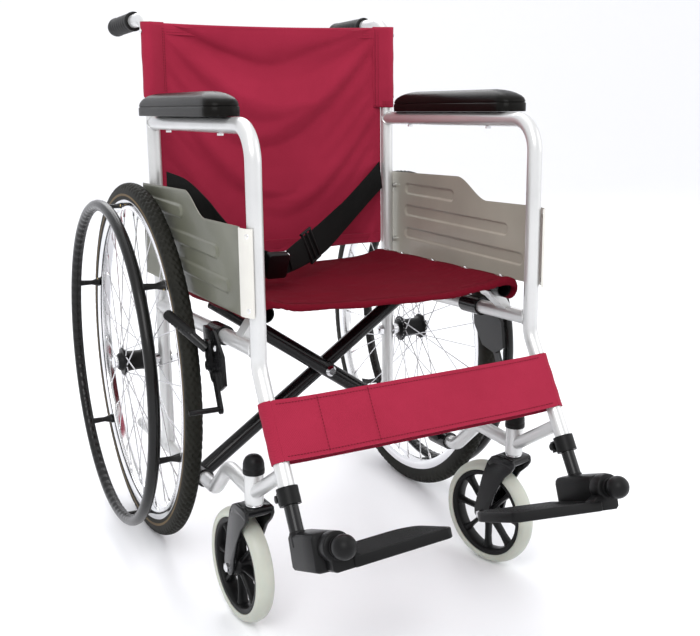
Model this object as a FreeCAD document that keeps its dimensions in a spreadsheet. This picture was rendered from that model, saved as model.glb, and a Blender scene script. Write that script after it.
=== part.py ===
import FreeCAD, Part
import math
import os
import re

import Sketcher
from FreeCAD import Placement, Rotation, Vector

# Manual folding wheelchair.  Millimetres, +Z up, the front of the chair faces -Y and the
# occupant's right-hand side is at -X.  The origin lies on the floor below the middle of the
# chair.  The right half is modelled and the left half is its mirror image, apart from the
# two casters, which are built at their own steering angles.

# name, value, what it is
SIZES = [
    ("side_x", 218, "centre plane of each side frame, from the middle"),
    ("tube_od", 22, "outside diameter of the side frame tubes"),
    ("tube_wall", 1.5, "wall of the side frame tubes"),
    ("post_lean", 2, "backward lean of the posts, degrees"),
    ("rail_tilt", 4, "upward tilt of the rails towards the front, degrees"),
    ("leg_angle", 34, "forward angle of the footrest leg from the vertical, degrees"),
    ("axle_y", 200, "rear axle behind the origin"),
    ("wheel_radius", 300, "outside radius of the rear tyre and height of its axle"),
    ("wheel_x", 258, "middle plane of the rear wheel"),
    ("tyre_width", 26, "width of the rear tyre"),
    ("tyre_bed", 270, "radius where the tyre sits on the rim"),
    ("rim_inner", 255, "inner radius of the rim"),
    ("rim_width", 23, "width of the rim"),
    ("handrim_x", 312, "middle plane of the handrim"),
    ("handrim_radius", 265, "centre-line radius of the handrim"),
    ("handrim_tube", 19, "thickness of the handrim"),
    ("hub_inner_x", 240, "inner end of the hub"),
    ("hub_length", 60, "length of the hub"),
    ("hub_radius", 14, "radius of the hub barrel"),
    ("hub_flange", 22, "radius of the spoke flanges"),
    ("axle_radius", 6, "radius of the axle bolt"),
    ("running_gap", 0.06, "radial clearance of a turning fit"),
    ("slide_gap", 0.08, "radial clearance of a sliding fit"),
    ("post_top", 865, "height where the post's and the push handle's centre lines meet"),
    ("handle_droop", 3, "droop of the push handle towards the rear, degrees"),
    ("handle_end", 433, "rear end of the push handle tube"),
    ("handle_bend", 45, "bend radius of the push handle and of the arm"),
    ("grip_start", 305, "front end of the push grip"),
    ("grip_radius", 16, "largest radius of the push grip"),
    ("arm_rear_z", 697, "height of the arm tube at the rear post"),
    ("arm_tilt", 2.3, "upward tilt of the arm tube towards the front, degrees"),
    ("front_post_y", -245, "front post, measured at the height front_post_z"),
    ("front_post_z", 590, "height where front_post_y is measured"),
    ("leg_bend_z", 400, "height where the front post turns forward"),
    ("leg_end_y", -350, "lower end of the leg, along the chair"),
    ("leg_end_z", 254, "lower end of the leg, height"),
    ("side_rail_z", 405, "height of the side rail at the origin"),
    ("lower_rail_z", 151.9, "height of the lower rail at the origin"),
    ("lower_rail_rear", 369, "free rear end of the lower rail, used as the tipping lever"),
    ("caster_y", -224, "swivel axis of the caster"),
    ("barrel_radius", 13.5, "radius of the caster barrel"),
    ("barrel_low", 198, "lower end of the caster barrel"),
    ("barrel_high", 254, "upper end of the caster barrel"),
    ("caster_radius", 85, "outside radius of the caster tyre"),
    ("caster_trail", 45, "caster axle behind the swivel axis"),
    ("caster_width", 28, "width of the caster tyre"),
    ("caster_bed", 71, "radius where the caster tyre sits"),
    ("right_steer", 5, "steering angle of the right caster, degrees"),
    ("left_steer", 15, "steering angle of the left caster, degrees"),
    ("seat_rail_x", 193, "centre of each seat rail"),
    ("seat_rail_z", 448, "height of the seat rails at the origin"),
    ("bar_od", 25, "outside diameter of the cross bars and seat rails"),
    ("bar_wall", 1.6, "wall of the cross bars and seat rails"),
    ("brace_y", 0, "front cross bar at the pivot bolt, along the chair"),
    ("bar_pitch", 30, "distance between the planes of the two cross bars"),
    ("seat_rail_front", 216, "seat rail in front of the origin"),
    ("seat_rail_back", 184, "seat rail behind the origin"),
    ("panel_x", 236, "inner face of the side panel"),
    ("panel_sheet", 1.5, "thickness of the side panel"),
    ("pad_length", 353, "length of the arm pad"),
    ("pad_front", -177, "front end of the arm pad, along the chair"),
    ("pad_offset", 12, "how far the arm pad's middle lies outside the arm tube's"),
    ("pad_width", 52, "width of the arm pad"),
    ("pad_height", 34, "height of the arm pad"),
    ("foot_x", 204, "hinge axis of the footplate"),
    ("foot_y", -467.2, "front end of the footplate hinge, along the chair"),
    ("foot_z", 236, "front end of the footplate hinge, height"),
    ("foot_tilt", 22, "tilt of the footplate, front edge up, degrees"),
    ("foot_rise", 4, "rise of the footplate towards the middle, degrees"),
    ("foot_ball", 15.5, "radius of the bumper ball"),
    ("foot_pin", 5, "radius of the footplate hinge pin"),
    ("slide_radius", 9.42, "radius of the footrest tube that slides in the leg"),
    ("lever_y", -118, "brake lever pivot, along the chair"),
    ("lever_z", 372, "brake lever pivot, height"),
    ("shoe_y", -128, "brake shoe pivot, along the chair"),
    ("shoe_z", 358, "brake shoe pivot, height"),
    ("brake_pin", 4, "radius of the brake pivots"),
    ("strap_width", 82, "width of the calf strap"),
    ("belt_width", 48, "width of the seat belt"),
]

doc = FreeCAD.newDocument("wheelchair")
sheet = doc.addObject("Spreadsheet::Sheet", "dims")
for row, (alias, size, meaning) in enumerate(SIZES, start=1):
    sheet.set("A%d" % row, alias)
    sheet.set("B%d" % row, str(size))
    sheet.set("C%d" % row, meaning)
    sheet.setAlias("B%d" % row, alias)
doc.recompute()

ALIASES = {alias for alias, _, _ in SIZES}
nodes = {}


# ---------------------------------------------------------------- small helpers

def linked(expression):
    """The expression with each sheet alias written as a reference to the sheet."""
    return re.sub(r"[a-z]+(?:_[a-z]+)*", lambda word: "dims." + word.group(0)
                  if word.group(0) in ALIASES else word.group(0), str(expression))


def number(expression):
    """The value of an expression of sheet aliases."""
    return float(sheet.evalExpression(str(expression)))


def bind(thing, name, expression):
    thing.setExpression(name, linked(expression))


def put(thing, at=(0, 0, 0), turn=Rotation()):
    """Place an object: a fixed turn, and a position bound to the sheet."""
    thing.Placement = Placement(Vector(*[number(part) for part in at]), turn)
    for axis, part in zip("xyz", at):
        bind(thing, "Placement.Base." + axis, part)
    return thing


def keep(label, thing):
    """Name an object as one node of the assembly."""
    thing.Label = label
    nodes[label] = thing
    return thing


ALONG_X = Rotation(Vector(0, 1, 0), 90)
ALONG_Y = Rotation(Vector(1, 0, 0), -90)
UPRIGHT = Rotation()


def cylinder(name, radius, length, at, turn=UPRIGHT):
    thing = doc.addObject("Part::Cylinder", name)
    bind(thing, "Radius", radius)
    bind(thing, "Height", length)
    return put(thing, at, turn)


def box(name, sides, at, turn=UPRIGHT):
    thing = doc.addObject("Part::Box", name)
    for side, size in zip(("Length", "Width", "Height"), sides):
        bind(thing, side, size)
    return put(thing, at, turn)


def fused(name, parts):
    thing = doc.addObject("Part::MultiFuse", name)
    thing.Shapes = parts
    thing.Refine = True
    return thing


def cut(name, base, tool):
    thing = doc.addObject("Part::Cut", name)
    thing.Base = base
    thing.Tool = tool
    return thing


def grouped(name, parts):
    thing = doc.addObject("Part::Compound", name)
    thing.Links = parts
    return thing


def origin_plane(body, role):
    return next(item for item in body.Origin.OriginFeatures if item.Role == role)


def outline(body, role, corners):
    """A closed sketch whose corners are bound to the sheet, on an origin plane of the body."""
    sketch = body.newObject("Sketcher::SketchObject", body.Name + "_outline")
    sketch.AttachmentSupport = [(origin_plane(body, role), "")]
    sketch.MapMode = "FlatFace"
    places = [Vector(number(u), number(v), 0) for u, v in corners]
    count = len(corners)
    for index in range(count):
        sketch.addGeometry(Part.LineSegment(places[index], places[(index + 1) % count]), False)
    for index in range(count):
        sketch.addConstraint(Sketcher.Constraint("Coincident", index, 2, (index + 1) % count, 1))
    for index, (u, v) in enumerate(corners):
        for kind, part, size in (("DistanceX", u, places[index].x), ("DistanceY", v, places[index].y)):
            sketch.addConstraint(Sketcher.Constraint(kind, -1, 1, index, 1, size))
            if re.search("[a-z]", str(part)):
                bind(sketch, "Constraints[%d]" % (sketch.ConstraintCount - 1), part)
    return sketch


def padded(name, role, corners, length, at=(0, 0, 0), turn=UPRIGHT):
    """A body padded from an outline."""
    body = doc.addObject("PartDesign::Body", name)
    sketch = outline(body, role, corners)
    pad = body.newObject("PartDesign::Pad", name + "_pad")
    pad.Profile = sketch
    bind(pad, "Length", length)
    put(body, at, turn)
    doc.recompute()
    return body


def revolved(name, corners, at, turn=UPRIGHT):
    """A body turned about its own Z axis from an outline of radius and height."""
    body = doc.addObject("PartDesign::Body", name)
    sketch = outline(body, "XZ_Plane", corners)
    turned = body.newObject("PartDesign::Revolution", name + "_turned")
    turned.Profile = sketch
    turned.ReferenceAxis = (sketch, ["V_Axis"])
    turned.Angle = 360
    put(body, at, turn)
    doc.recompute()
    return body


def rounded(body, radius, chosen):
    """Round the edges of a body's last feature that chosen() picks by their middle point."""
    base = body.Tip
    edges = ["Edge%d" % (index + 1) for index, edge in enumerate(base.Shape.Edges)
             if chosen(edge.valueAt((edge.FirstParameter + edge.LastParameter) / 2), edge)]
    fillet = body.newObject("PartDesign::Fillet", body.Name + "_round")
    fillet.Base = (base, edges)
    bind(fillet, "Radius", radius)
    body.Tip = fillet
    doc.recompute()
    return body


def centre_line(points, radius):
    """A wire of straight runs joined by tangent arcs of one radius."""
    edges = []
    start = points[0]
    for before, corner, after in zip(points, points[1:], points[2:]):
        incoming = (corner - before).normalize()
        outgoing = (after - corner).normalize()
        turn = incoming.getAngle(outgoing)
        reach = radius * math.tan(turn / 2)
        first = corner - incoming * reach
        last = corner + outgoing * reach
        bisector = (outgoing - incoming).normalize()
        middle = corner + bisector * (radius / math.cos(turn / 2) - radius)
        edges.append(Part.LineSegment(start, first).toShape())
        edges.append(Part.Arc(first, middle, last).toShape())
        start = last
    edges.append(Part.LineSegment(start, points[-1]).toShape())
    return Part.Wire(edges)


def swept(points, radius, thickness):
    """A round bar of one radius along a centre line."""
    path = centre_line(points, radius)
    direction = (points[1] - points[0]).normalize()
    section = Part.Wire([Part.makeCircle(thickness, points[0], direction)])
    return path.makePipeShell([section], True, False)


def tube(points, radius, outside, wall, coped_by=()):
    """A hollow tube along a centre line, coped to the tubes that it is welded to."""
    shape = swept(points, radius, outside).cut(swept(points, radius, outside - wall))
    for other in coped_by:
        shape = shape.cut(other)
    return max(shape.Solids, key=lambda solid: solid.Volume)


def part_feature(label, shape):
    """A node whose shape is swept or laced, which no primitive or sketched feature fits."""
    thing = doc.addObject("Part::Feature", label)
    thing.Shape = shape
    return keep(label, thing)


def rod(start, end, radius):
    """A straight round bar between two points."""
    return Part.makeCylinder(radius, (end - start).Length, start, end - start)


# ---------------------------------------------------------------- lines of the side frame

side = -number("side_x")
tube_radius = number("tube_od") / 2
tube_wall = number("tube_wall")
lean = math.tan(math.radians(number("post_lean")))
tilt = math.tan(math.radians(number("rail_tilt")))
arm_slope = math.tan(math.radians(number("arm_tilt")))
droop = math.tan(math.radians(number("handle_droop")))
RAIL_ALONG = Vector(0, math.cos(math.radians(4)), -math.sin(math.radians(4)))


def back_post_y(z):
    return number("axle_y") + (z - number("wheel_radius")) * lean


def front_post_y(z):
    return number("front_post_y") + (z - number("front_post_z")) * lean


def side_point(y, z):
    return Vector(side, y, z)


def rail_height(name, y):
    return number(name) - y * tilt


def handle_z(y):
    """Height of the push handle's centre line at a place along the chair."""
    return number("post_top") - (y - back_post_y(number("post_top"))) * droop


post_foot_y = back_post_y(138)
post_line = [side_point(post_foot_y, rail_height("lower_rail_z", post_foot_y)),
             side_point(back_post_y(number("post_top")), number("post_top")),
             side_point(number("handle_end"), handle_z(number("handle_end")))]
arm_rear = side_point(back_post_y(number("arm_rear_z")), number("arm_rear_z"))
arm_corner_y = front_post_y(715)
arm_line = [arm_rear,
            side_point(arm_corner_y, arm_rear.z + (arm_rear.y - arm_corner_y) * arm_slope),
            side_point(front_post_y(number("leg_bend_z")), number("leg_bend_z")),
            side_point(number("leg_end_y"), number("leg_end_z"))]
LEG_DOWN = (arm_line[3] - arm_line[2]).normalize()
SWAY = 34                                   # bend radius of the step in the lower rail
barrel_joint = side_point(number("caster_y"), 213.5)
lower_line = [side_point(number("lower_rail_rear"), rail_height("lower_rail_z", number("lower_rail_rear"))),
              side_point(-58, rail_height("lower_rail_z", -58)),
              side_point(-121, 213), barrel_joint]
side_rail_line = [side_point(front_post_y(422), rail_height("side_rail_z", front_post_y(422))),
                  side_point(back_post_y(391), rail_height("side_rail_z", back_post_y(391)))]


# ---------------------------------------------------------------- tubes of the side frame

def build_side_tubes():
    """Back post, arm tube, side rail and lower rail of the right side frame."""
    bend = number("handle_bend")
    post_core = swept(post_line, bend, tube_radius)
    arm_core = swept(arm_line, bend, tube_radius)
    lower_core = swept(lower_line, SWAY, tube_radius)
    barrel = Part.makeCylinder(number("barrel_radius"), number("barrel_high - barrel_low"),
                               side_point(number("caster_y"), number("barrel_low")))
    axle_hole = Part.makeCylinder(number("axle_radius") + 0.02, 60,
                                  Vector(side - 30, number("axle_y"), number("wheel_radius")),
                                  Vector(1, 0, 0))

    post = tube(post_line, bend, tube_radius, tube_wall, [lower_core])
    part_feature("right_back_post", post.cut(axle_hole))
    part_feature("right_arm_tube", tube(arm_line, bend, tube_radius, tube_wall, [post_core]))

    rail = tube(side_rail_line, bend, tube_radius, tube_wall, [post_core, arm_core])
    part_feature("right_side_rail", rail.fuse([saddle(-196), saddle(158)]).removeSplitter())

    lower = tube(lower_line, SWAY, tube_radius, tube_wall, [barrel])
    button_hole = Part.makeCylinder(3.2, 30, lower_line[0] - RAIL_ALONG * 22, Vector(-1, 0, 0))
    strut_line = [side_point(number("caster_y"), 211.7), side_point(-332.5, 281.6)]
    strut = tube(strut_line, bend, 9.5, tube_wall, [barrel, arm_core])
    bore = Part.makeCylinder(number("axle_radius + running_gap"), 80,
                             side_point(number("caster_y"), number("barrel_low") - 5))
    head = barrel.fuse([lower.cut(button_hole), strut]).cut(bore)
    part_feature("right_lower_rail", head)


def saddle(y):
    """The cradle on the side rail that the seat rail rests in, at one place along the rail."""
    length = 26
    rest = number("bar_od") / 2 + 0.3
    cradle_x = -number("seat_rail_x")
    low = Vector(cradle_x, y, rail_height("seat_rail_z", y))
    ring = Part.makeCylinder(rest + 3.2, length, low, RAIL_ALONG)
    ring = ring.cut(Part.makeCylinder(rest, length + 10, low - RAIL_ALONG * 5, RAIL_ALONG))
    top = Part.makeBox(60, 80, 30, Vector(cradle_x - 30, y - 20, low.z - 5))
    foot = Vector(side, y, rail_height("side_rail_z", y))
    web = Part.makePolygon([foot + Vector(-4, 0, 9), foot + Vector(6, 0, 6),
                            low + Vector(6, 0, -13.6), low + Vector(-12, 0, -9.5),
                            foot + Vector(-4, 0, 9)])
    web = Part.Face(web).extrude(RAIL_ALONG * length)
    seat_core = Part.makeCylinder(rest, length + 20, low - RAIL_ALONG * 10, RAIL_ALONG)
    rail_bore = Part.makeCylinder(tube_radius - tube_wall, length + 20, foot - RAIL_ALONG * 10, RAIL_ALONG)
    return ring.cut(top).fuse(web).cut(seat_core).cut(rail_bore)


# ---------------------------------------------------------------- pieces fixed to the side frame

def build_cap():
    """Domed cap pushed over the top of the caster barrel."""
    corners = [("0", "barrel_high + 1"), ("barrel_radius", "barrel_high + 1"), ("barrel_radius", "barrel_high - 12"),
               ("barrel_radius + 1.8", "barrel_high - 12"), ("barrel_radius + 1.8", "barrel_high + 15"),
               ("0", "barrel_high + 15")]
    cap = revolved("cap", corners, ("-side_x", "caster_y", "0"))
    rounded(cap, "12.5", lambda middle, edge: middle.z > number("barrel_high") + 14 and edge.Length > 50)
    keep("right_caster_cap", cap)


def build_grip():
    """Push grip: a sleeve with finger rings and a closed end."""
    ring, groove = "grip_radius", "grip_radius - 1.6"
    corners = [("tube_od / 2", "0"), (ring, "0"), (ring, "8")]
    for index in range(5):
        start = 12 + index * 20
        corners += [(groove, str(start)), (groove, str(start + 5)), (ring, str(start + 9)),
                    (ring, str(start + 14))]
    core = str(number("handle_end - grip_start") * math.hypot(1, droop))
    corners += [("grip_radius - 0.5", "118"), ("grip_radius - 3", "132"), ("0", "132"), ("0", core),
                ("tube_od / 2", core)]
    start_z = str(handle_z(number("grip_start")))
    turn = Rotation(Vector(1, 0, 0), -number("handle_droop")).multiply(ALONG_Y)
    grip = revolved("grip", corners, ("-side_x", "grip_start", start_z), turn)
    keep("right_push_grip", grip)


def build_arm_pad():
    """Moulded arm pad, screwed down on the arm tube."""
    half = "pad_width / 2"
    corners = [("-pad_width / 2", "0"), (half, "0"), (half, "pad_length"), ("-pad_width / 2", "pad_length")]
    front = number("pad_front")
    front_z = arm_rear.z + (arm_rear.y - front) * arm_slope + tube_radius
    lift = Rotation(Vector(1, 0, 0), -number("arm_tilt"))
    pad = padded("pad", "XY_Plane", corners, "pad_height",
                 ("-side_x - pad_offset", "pad_front", str(front_z)), lift)
    rounded(pad, "20", lambda middle, edge: 1 < middle.z < number("pad_height") - 1)
    rounded(pad, "17", lambda middle, edge: middle.z > number("pad_height") - 1)
    keep("right_arm_pad", pad)


def build_panel():
    """Pressed side panel with three ribs and a flange folded round the front post."""
    corners = [("225", "446"), ("225", "598"), ("-12", "610"), ("-70", "580"), ("-234", "588"), ("-238", "470")]
    plate = padded("plate", "YZ_Plane", corners, "panel_sheet", ("-panel_x - panel_sheet", "0", "0"))
    rounded(plate, "38", lambda middle, edge: abs(middle.y + 70) < 2 and abs(middle.z - 580) < 2)
    rounded(plate, "8", lambda middle, edge: abs(middle.y + 12) < 2 and abs(middle.z - 610) < 2)
    ribs = []
    for index, (front, low) in enumerate(((4, 566), (-157, 531), (-200, 491))):
        length = 172 - front
        outline_ = [("0", "0"), (str(length), "0"), (str(length), "21"), ("0", "21")]
        turn = Rotation(Vector(1, 0, 0), -1.5)
        rib = padded("rib%d" % index, "YZ_Plane", outline_, "3.4", ("-panel_x - 4.4", str(front), str(low)), turn)
        rounded(rib, "8", lambda middle, edge: abs(edge.tangentAt(edge.FirstParameter).x) > 0.9)
        rounded(rib, "2.2", lambda middle, edge: middle.x < 0.1)
        ribs.append(rib)
    fold = [("-panel_x - panel_sheet", "14"), ("-panel_x - panel_sheet", "9"), ("-227.2", "-11.5"),
            ("-226", "-10.6"), ("-panel_x", "8.4"), ("-panel_x", "14")]
    lean_turn = Rotation(Vector(1, 0, 0), -number("post_lean"))
    flange = padded("flange", "XY_Plane", fold, "118", ("0", str(front_post_y(470)), "470"), lean_turn)
    keep("right_side_panel", fused("panel", [plate, flange] + ribs))


def build_screws():
    """Pan-head screws of the panel flange, and the spacers and bolts at the back post."""
    outward = Vector(-0.894, -0.45, 0)
    across = Rotation(Vector(0, 0, 1), outward)
    pieces = []
    for index, z in enumerate((480, 577)):
        at = ("-side_x - 12", str(front_post_y(z) - 6.04), str(z))
        pieces.append(cylinder("flange_screw%d" % index, 4.2, 2.6, at, across))
    for index, z in enumerate((474, 574)):
        y = back_post_y(z)
        pieces.append(cylinder("spacer%d" % index, 5, "panel_x - side_x - tube_od / 2",
                               ("-panel_x", y, z), ALONG_X))
        pieces.append(cylinder("panel_bolt%d" % index, 5, 2.4, ("-panel_x - panel_sheet - 2.4", y, z), ALONG_X))
    for index, y in enumerate((-120, 125)):
        z = arm_rear.z + (arm_rear.y - y) * arm_slope
        pieces.append(cylinder("pad_screw%d" % index, 4.5, 3, ("-side_x", y, z - tube_radius - 3.3)))
    keep("right_frame_screws", grouped("screws", pieces))


def build_axle():
    """Axle bolt through the back post, with its head, nut and spacer."""
    at = ("axle_y", "wheel_radius")
    post_inner = "-side_x + tube_od / 2"
    shaft = cylinder("axle_shaft", "axle_radius", "hub_inner_x + hub_length + 4 - side_x + tube_od / 2",
                     ("-hub_inner_x - hub_length - 4",) + at, ALONG_X)
    head = doc.addObject("Part::Prism", "axle_head")
    nut = doc.addObject("Part::Prism", "axle_nut")
    for prism, radius, length, start in ((head, 10, 6, "-hub_inner_x - hub_length - 7"),
                                         (nut, 10, 8, post_inner)):
        prism.Polygon = 6
        bind(prism, "Circumradius", radius)
        bind(prism, "Height", length)
        put(prism, (start,) + at, ALONG_X)
    end = cylinder("axle_end", "axle_radius", 11, (post_inner,) + at, ALONG_X)
    ring = cylinder("axle_ring", 10, "hub_inner_x - side_x - tube_od / 2 - 0.4",
                    ("-hub_inner_x + 0.4",) + at, ALONG_X)
    keep("right_axle", fused("axle", [shaft, head, nut, end, ring]))


def build_clamp():
    """Clamp at the lower end of the leg, with its pinch bolt at the back."""
    end = arm_line[3]
    band = rod(end - LEG_DOWN * 14, end + LEG_DOWN * 9, tube_radius + 3.5)
    keep_out = rod(end - LEG_DOWN * 30, end + LEG_DOWN * 30, tube_radius + 2)
    rearward = Vector(0, -LEG_DOWN.z, LEG_DOWN.y)
    lug = Part.makeBox(14, 13, 16, Vector(-7, 12, -8))
    bolt = Part.makeCylinder(3.5, 24, Vector(-12, 19, 0), Vector(1, 0, 0))
    heads = [Part.makeCylinder(5.2, 4.5, Vector(place, 19, 0), Vector(1, 0, 0)) for place in (-11.5, 7)]
    pinch = lug.fuse([bolt] + heads)
    pinch.Placement = Placement(end - LEG_DOWN * 4, Rotation(Vector(0, 1, 0), rearward))
    clamp = band.fuse(pinch.cut(keep_out))
    clamp = clamp.cut(rod(end - LEG_DOWN * 20, end, tube_radius))
    clamp = clamp.cut(rod(end - LEG_DOWN, end + LEG_DOWN * 20, number("slide_radius + slide_gap")))
    part_feature("right_footrest_clamp", clamp)


# ---------------------------------------------------------------- rear wheel

def build_wheel():
    """Hub, laced spokes, rim, tyre and handrim of the right rear wheel."""
    centre = ("axle_y", "wheel_radius")
    bore = "axle_radius + running_gap"
    hub = [(bore, "0"), ("11", "0"), ("13", "7"), ("hub_flange", "8"), ("hub_flange", "11"),
           ("hub_radius", "13"), ("hub_radius", "hub_length - 10"), ("hub_flange", "hub_length - 7.5"),
           ("hub_flange", "hub_length - 4.5"), ("13", "hub_length - 4"), ("11", "hub_length"),
           (bore, "hub_length")]
    keep("right_hub", revolved("hub", hub, ("-hub_inner_x - hub_length",) + centre, ALONG_X))
    rim = [("rim_inner", "-5"), ("rim_inner + 6", "-rim_width / 2"), ("tyre_bed", "-rim_width / 2"),
           ("tyre_bed", "rim_width / 2"), ("rim_inner + 6", "rim_width / 2"), ("rim_inner", "5")]
    keep("right_rim", revolved("rim", rim, ("-wheel_x",) + centre, ALONG_X))
    tyre = [("tyre_bed", "-rim_width / 2 + 2"), ("tyre_bed + 6", "-tyre_width / 2"),
            ("wheel_radius - 9", "-tyre_width / 2"), ("wheel_radius - 2", "-8"), ("wheel_radius", "-3"),
            ("wheel_radius", "3"), ("wheel_radius - 2", "8"), ("wheel_radius - 9", "tyre_width / 2"),
            ("tyre_bed + 6", "tyre_width / 2"), ("tyre_bed", "rim_width / 2 - 2")]
    keep("right_tyre", revolved("tyre", tyre, ("-wheel_x",) + centre, ALONG_X))

    ring = doc.addObject("Part::Torus", "handrim_ring")
    bind(ring, "Radius1", "handrim_radius")
    bind(ring, "Radius2", "handrim_tube / 2")
    put(ring, ("-handrim_x",) + centre, ALONG_X)
    tabs = []
    for index in range(6):
        angle = math.radians(60 * index + 20)
        reach = number("handrim_radius") - 2
        at = ("-handrim_x + 5", "axle_y + %.4f" % (reach * math.cos(angle)),
              "wheel_radius + %.4f" % (reach * math.sin(angle)))
        tabs.append(cylinder("tab%d" % index, 4.5, "handrim_x - 5 - wheel_x - rim_width / 2", at, ALONG_X))
    keep("right_handrim", fused("handrim", [ring] + tabs))
    part_feature("right_spokes", laced_spokes())


def laced_spokes():
    """36 crossed spokes, half from each flange, as one group of separate solids."""
    count = 36
    spoke_radius = 1.1
    hub_reach = number("hub_flange") - 3
    rim_reach = number("rim_inner") + 1
    flange_x = (number("hub_inner_x") + 6, number("hub_inner_x + hub_length") - 9.5)
    axle = Vector(0, number("axle_y"), number("wheel_radius"))
    spokes = []
    for index in range(count):
        rim_angle = math.radians(360 / count * (index + 0.5))
        skew = math.radians(62 if index % 4 < 2 else -62)
        near = Vector(-flange_x[index % 2], hub_reach * math.cos(rim_angle + skew),
                      hub_reach * math.sin(rim_angle + skew)) + Vector(0, axle.y, axle.z)
        far = Vector(-number("wheel_x") + (1.5 if index % 2 == 0 else -1.5), rim_reach * math.cos(rim_angle),
                     rim_reach * math.sin(rim_angle)) + Vector(0, axle.y, axle.z)
        spokes.append(rod(near, far, spoke_radius))
    return Part.makeCompound(spokes)


# ---------------------------------------------------------------- casters

def build_caster(name, at_x, steer):
    """One swivelling caster at its own steering angle: fork, axle, wheel and tyre."""
    swivel = Placement(Vector(at_x, number("caster_y"), 0), Rotation(Vector(0, 0, 1), number(steer)))
    trail, radius = number("caster_trail"), number("caster_radius")
    leg_in, leg_out = number("caster_width") / 2 + 2.2, number("caster_width") / 2 + 8

    crown = number("barrel_low") - 3

    profile = [(-17, crown), (20, crown), (34, crown - 14), (trail + 11, radius + 2), (trail + 6, radius - 9),
               (trail - 6, radius - 9), (trail - 12, radius + 3), (-10, crown - 22)]
    wire = Part.makePolygon([Vector(-leg_out, y, z) for y, z in profile + profile[:1]])
    block = Part.Face(wire).extrude(Vector(2 * leg_out, 0, 0))
    edges = [edge for edge in block.Edges if edge.BoundBox.XLength > leg_out and edge.Vertexes[0].Z < 95]
    block = block.makeFillet(5, edges)
    slot = Part.makeBox(2 * leg_in, 200, crown, Vector(-leg_in, -80, 0))
    slot = slot.cut(Part.makeBox(2 * leg_in, 200, 20, Vector(-leg_in, -80, crown - 10)))
    stem_top = number("barrel_high") - 2
    stem = Part.makeCylinder(number("axle_radius"), stem_top - crown + 2, Vector(0, 0, crown - 2))
    collar = Part.makeCylinder(11, 2.7, Vector(0, 0, crown))
    pin_bore = Part.makeCylinder(4.05, 100, Vector(-50, trail, radius), Vector(1, 0, 0))
    fork = block.cut(slot).fuse([stem, collar]).cut(pin_bore)

    pin = Part.makeCylinder(4, 2 * leg_out, Vector(-leg_out, trail, radius), Vector(1, 0, 0))
    heads = [Part.makeCylinder(6.5, 4, Vector(x, trail, radius), Vector(1, 0, 0))
             for x in (-leg_out - 4, leg_out)]
    axle = pin.fuse(heads)

    for label, shape in (("fork", fork), ("caster_axle", axle)):
        node = part_feature("%s_%s" % (name, label), shape)
        node.Placement = swivel

    bed, width = "caster_bed", "caster_width"
    hub = revolved(name + "_hub_core", [("4.06", "-caster_width / 2 - 1.9"), ("15", "-caster_width / 2 - 1.9"),
                                        ("15", "caster_width / 2 + 1.9"), ("4.06", "caster_width / 2 + 1.9")],
                   ("0", "0", "0"))
    rim = revolved(name + "_rim_core", [("caster_bed - 9", "-9"), ("caster_bed - 5", "-caster_width / 2 + 2"),
                                        (bed, "-caster_width / 2 + 2"), (bed, "caster_width / 2 - 2"),
                                        ("caster_bed - 5", "caster_width / 2 - 2"), ("caster_bed - 9", "9")],
                   ("0", "0", "0"))
    arms = []
    for index in range(8):
        arm = box(name + "_arm%d" % index, ("caster_bed - 19", 9, 15), ("0", "0", "-7.5"))
        turn = Rotation(Vector(0, 0, 1), 45 * index)
        arm.Placement = Placement(turn.multVec(Vector(13, -4.5, -7.5)), turn)
        for axis in "xyz":
            arm.setExpression("Placement.Base." + axis, None)
        arms.append(arm)
    wheel = keep(name + "_caster_wheel", fused(name + "_wheel", [hub, rim] + arms))
    tyre_corners = [(bed, "-caster_width / 2 + 1.5"), ("caster_bed + 3", "-caster_width / 2"),
                    ("caster_radius - 9", "-caster_width / 2"), ("caster_radius - 2.5", "-caster_width / 2 + 5"),
                    ("caster_radius", "-3"), ("caster_radius", "3"), ("caster_radius - 2.5", width + " / 2 - 5"),
                    ("caster_radius - 9", "caster_width / 2"), ("caster_bed + 3", "caster_width / 2"),
                    (bed, "caster_width / 2 - 1.5")]
    tyre = revolved(name + "_tyre_core", tyre_corners, ("0", "0", "0"))
    keep(name + "_caster_tyre", tyre)
    on_axle = Placement(Vector(0, trail, radius), ALONG_X)
    for node in (wheel, tyre):
        for axis in "xyz":
            node.setExpression("Placement.Base." + axis, None)
        node.Placement = swivel.multiply(on_axle)


# ---------------------------------------------------------------- brake

LAYER = 0.3                                  # play between the brake's flat pieces
PLATE = 4                                    # thickness of the brake's flat pieces


def flat_link(first, second, half_width, x_low):
    """A flat bar with round ends between two points of one plane across the chair."""
    along = Vector(1, 0, 0)
    start, end = Vector(x_low, *first), Vector(x_low, *second)
    run = end - start
    across = along.cross(run).normalize() * half_width
    wire = Part.makePolygon([start + across, end + across, end - across, start - across, start + across])
    bar = Part.Face(wire).extrude(along * PLATE)
    ends = [Part.makeCylinder(half_width, PLATE, place, along) for place in (start, end)]
    return bar.fuse(ends)


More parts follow.
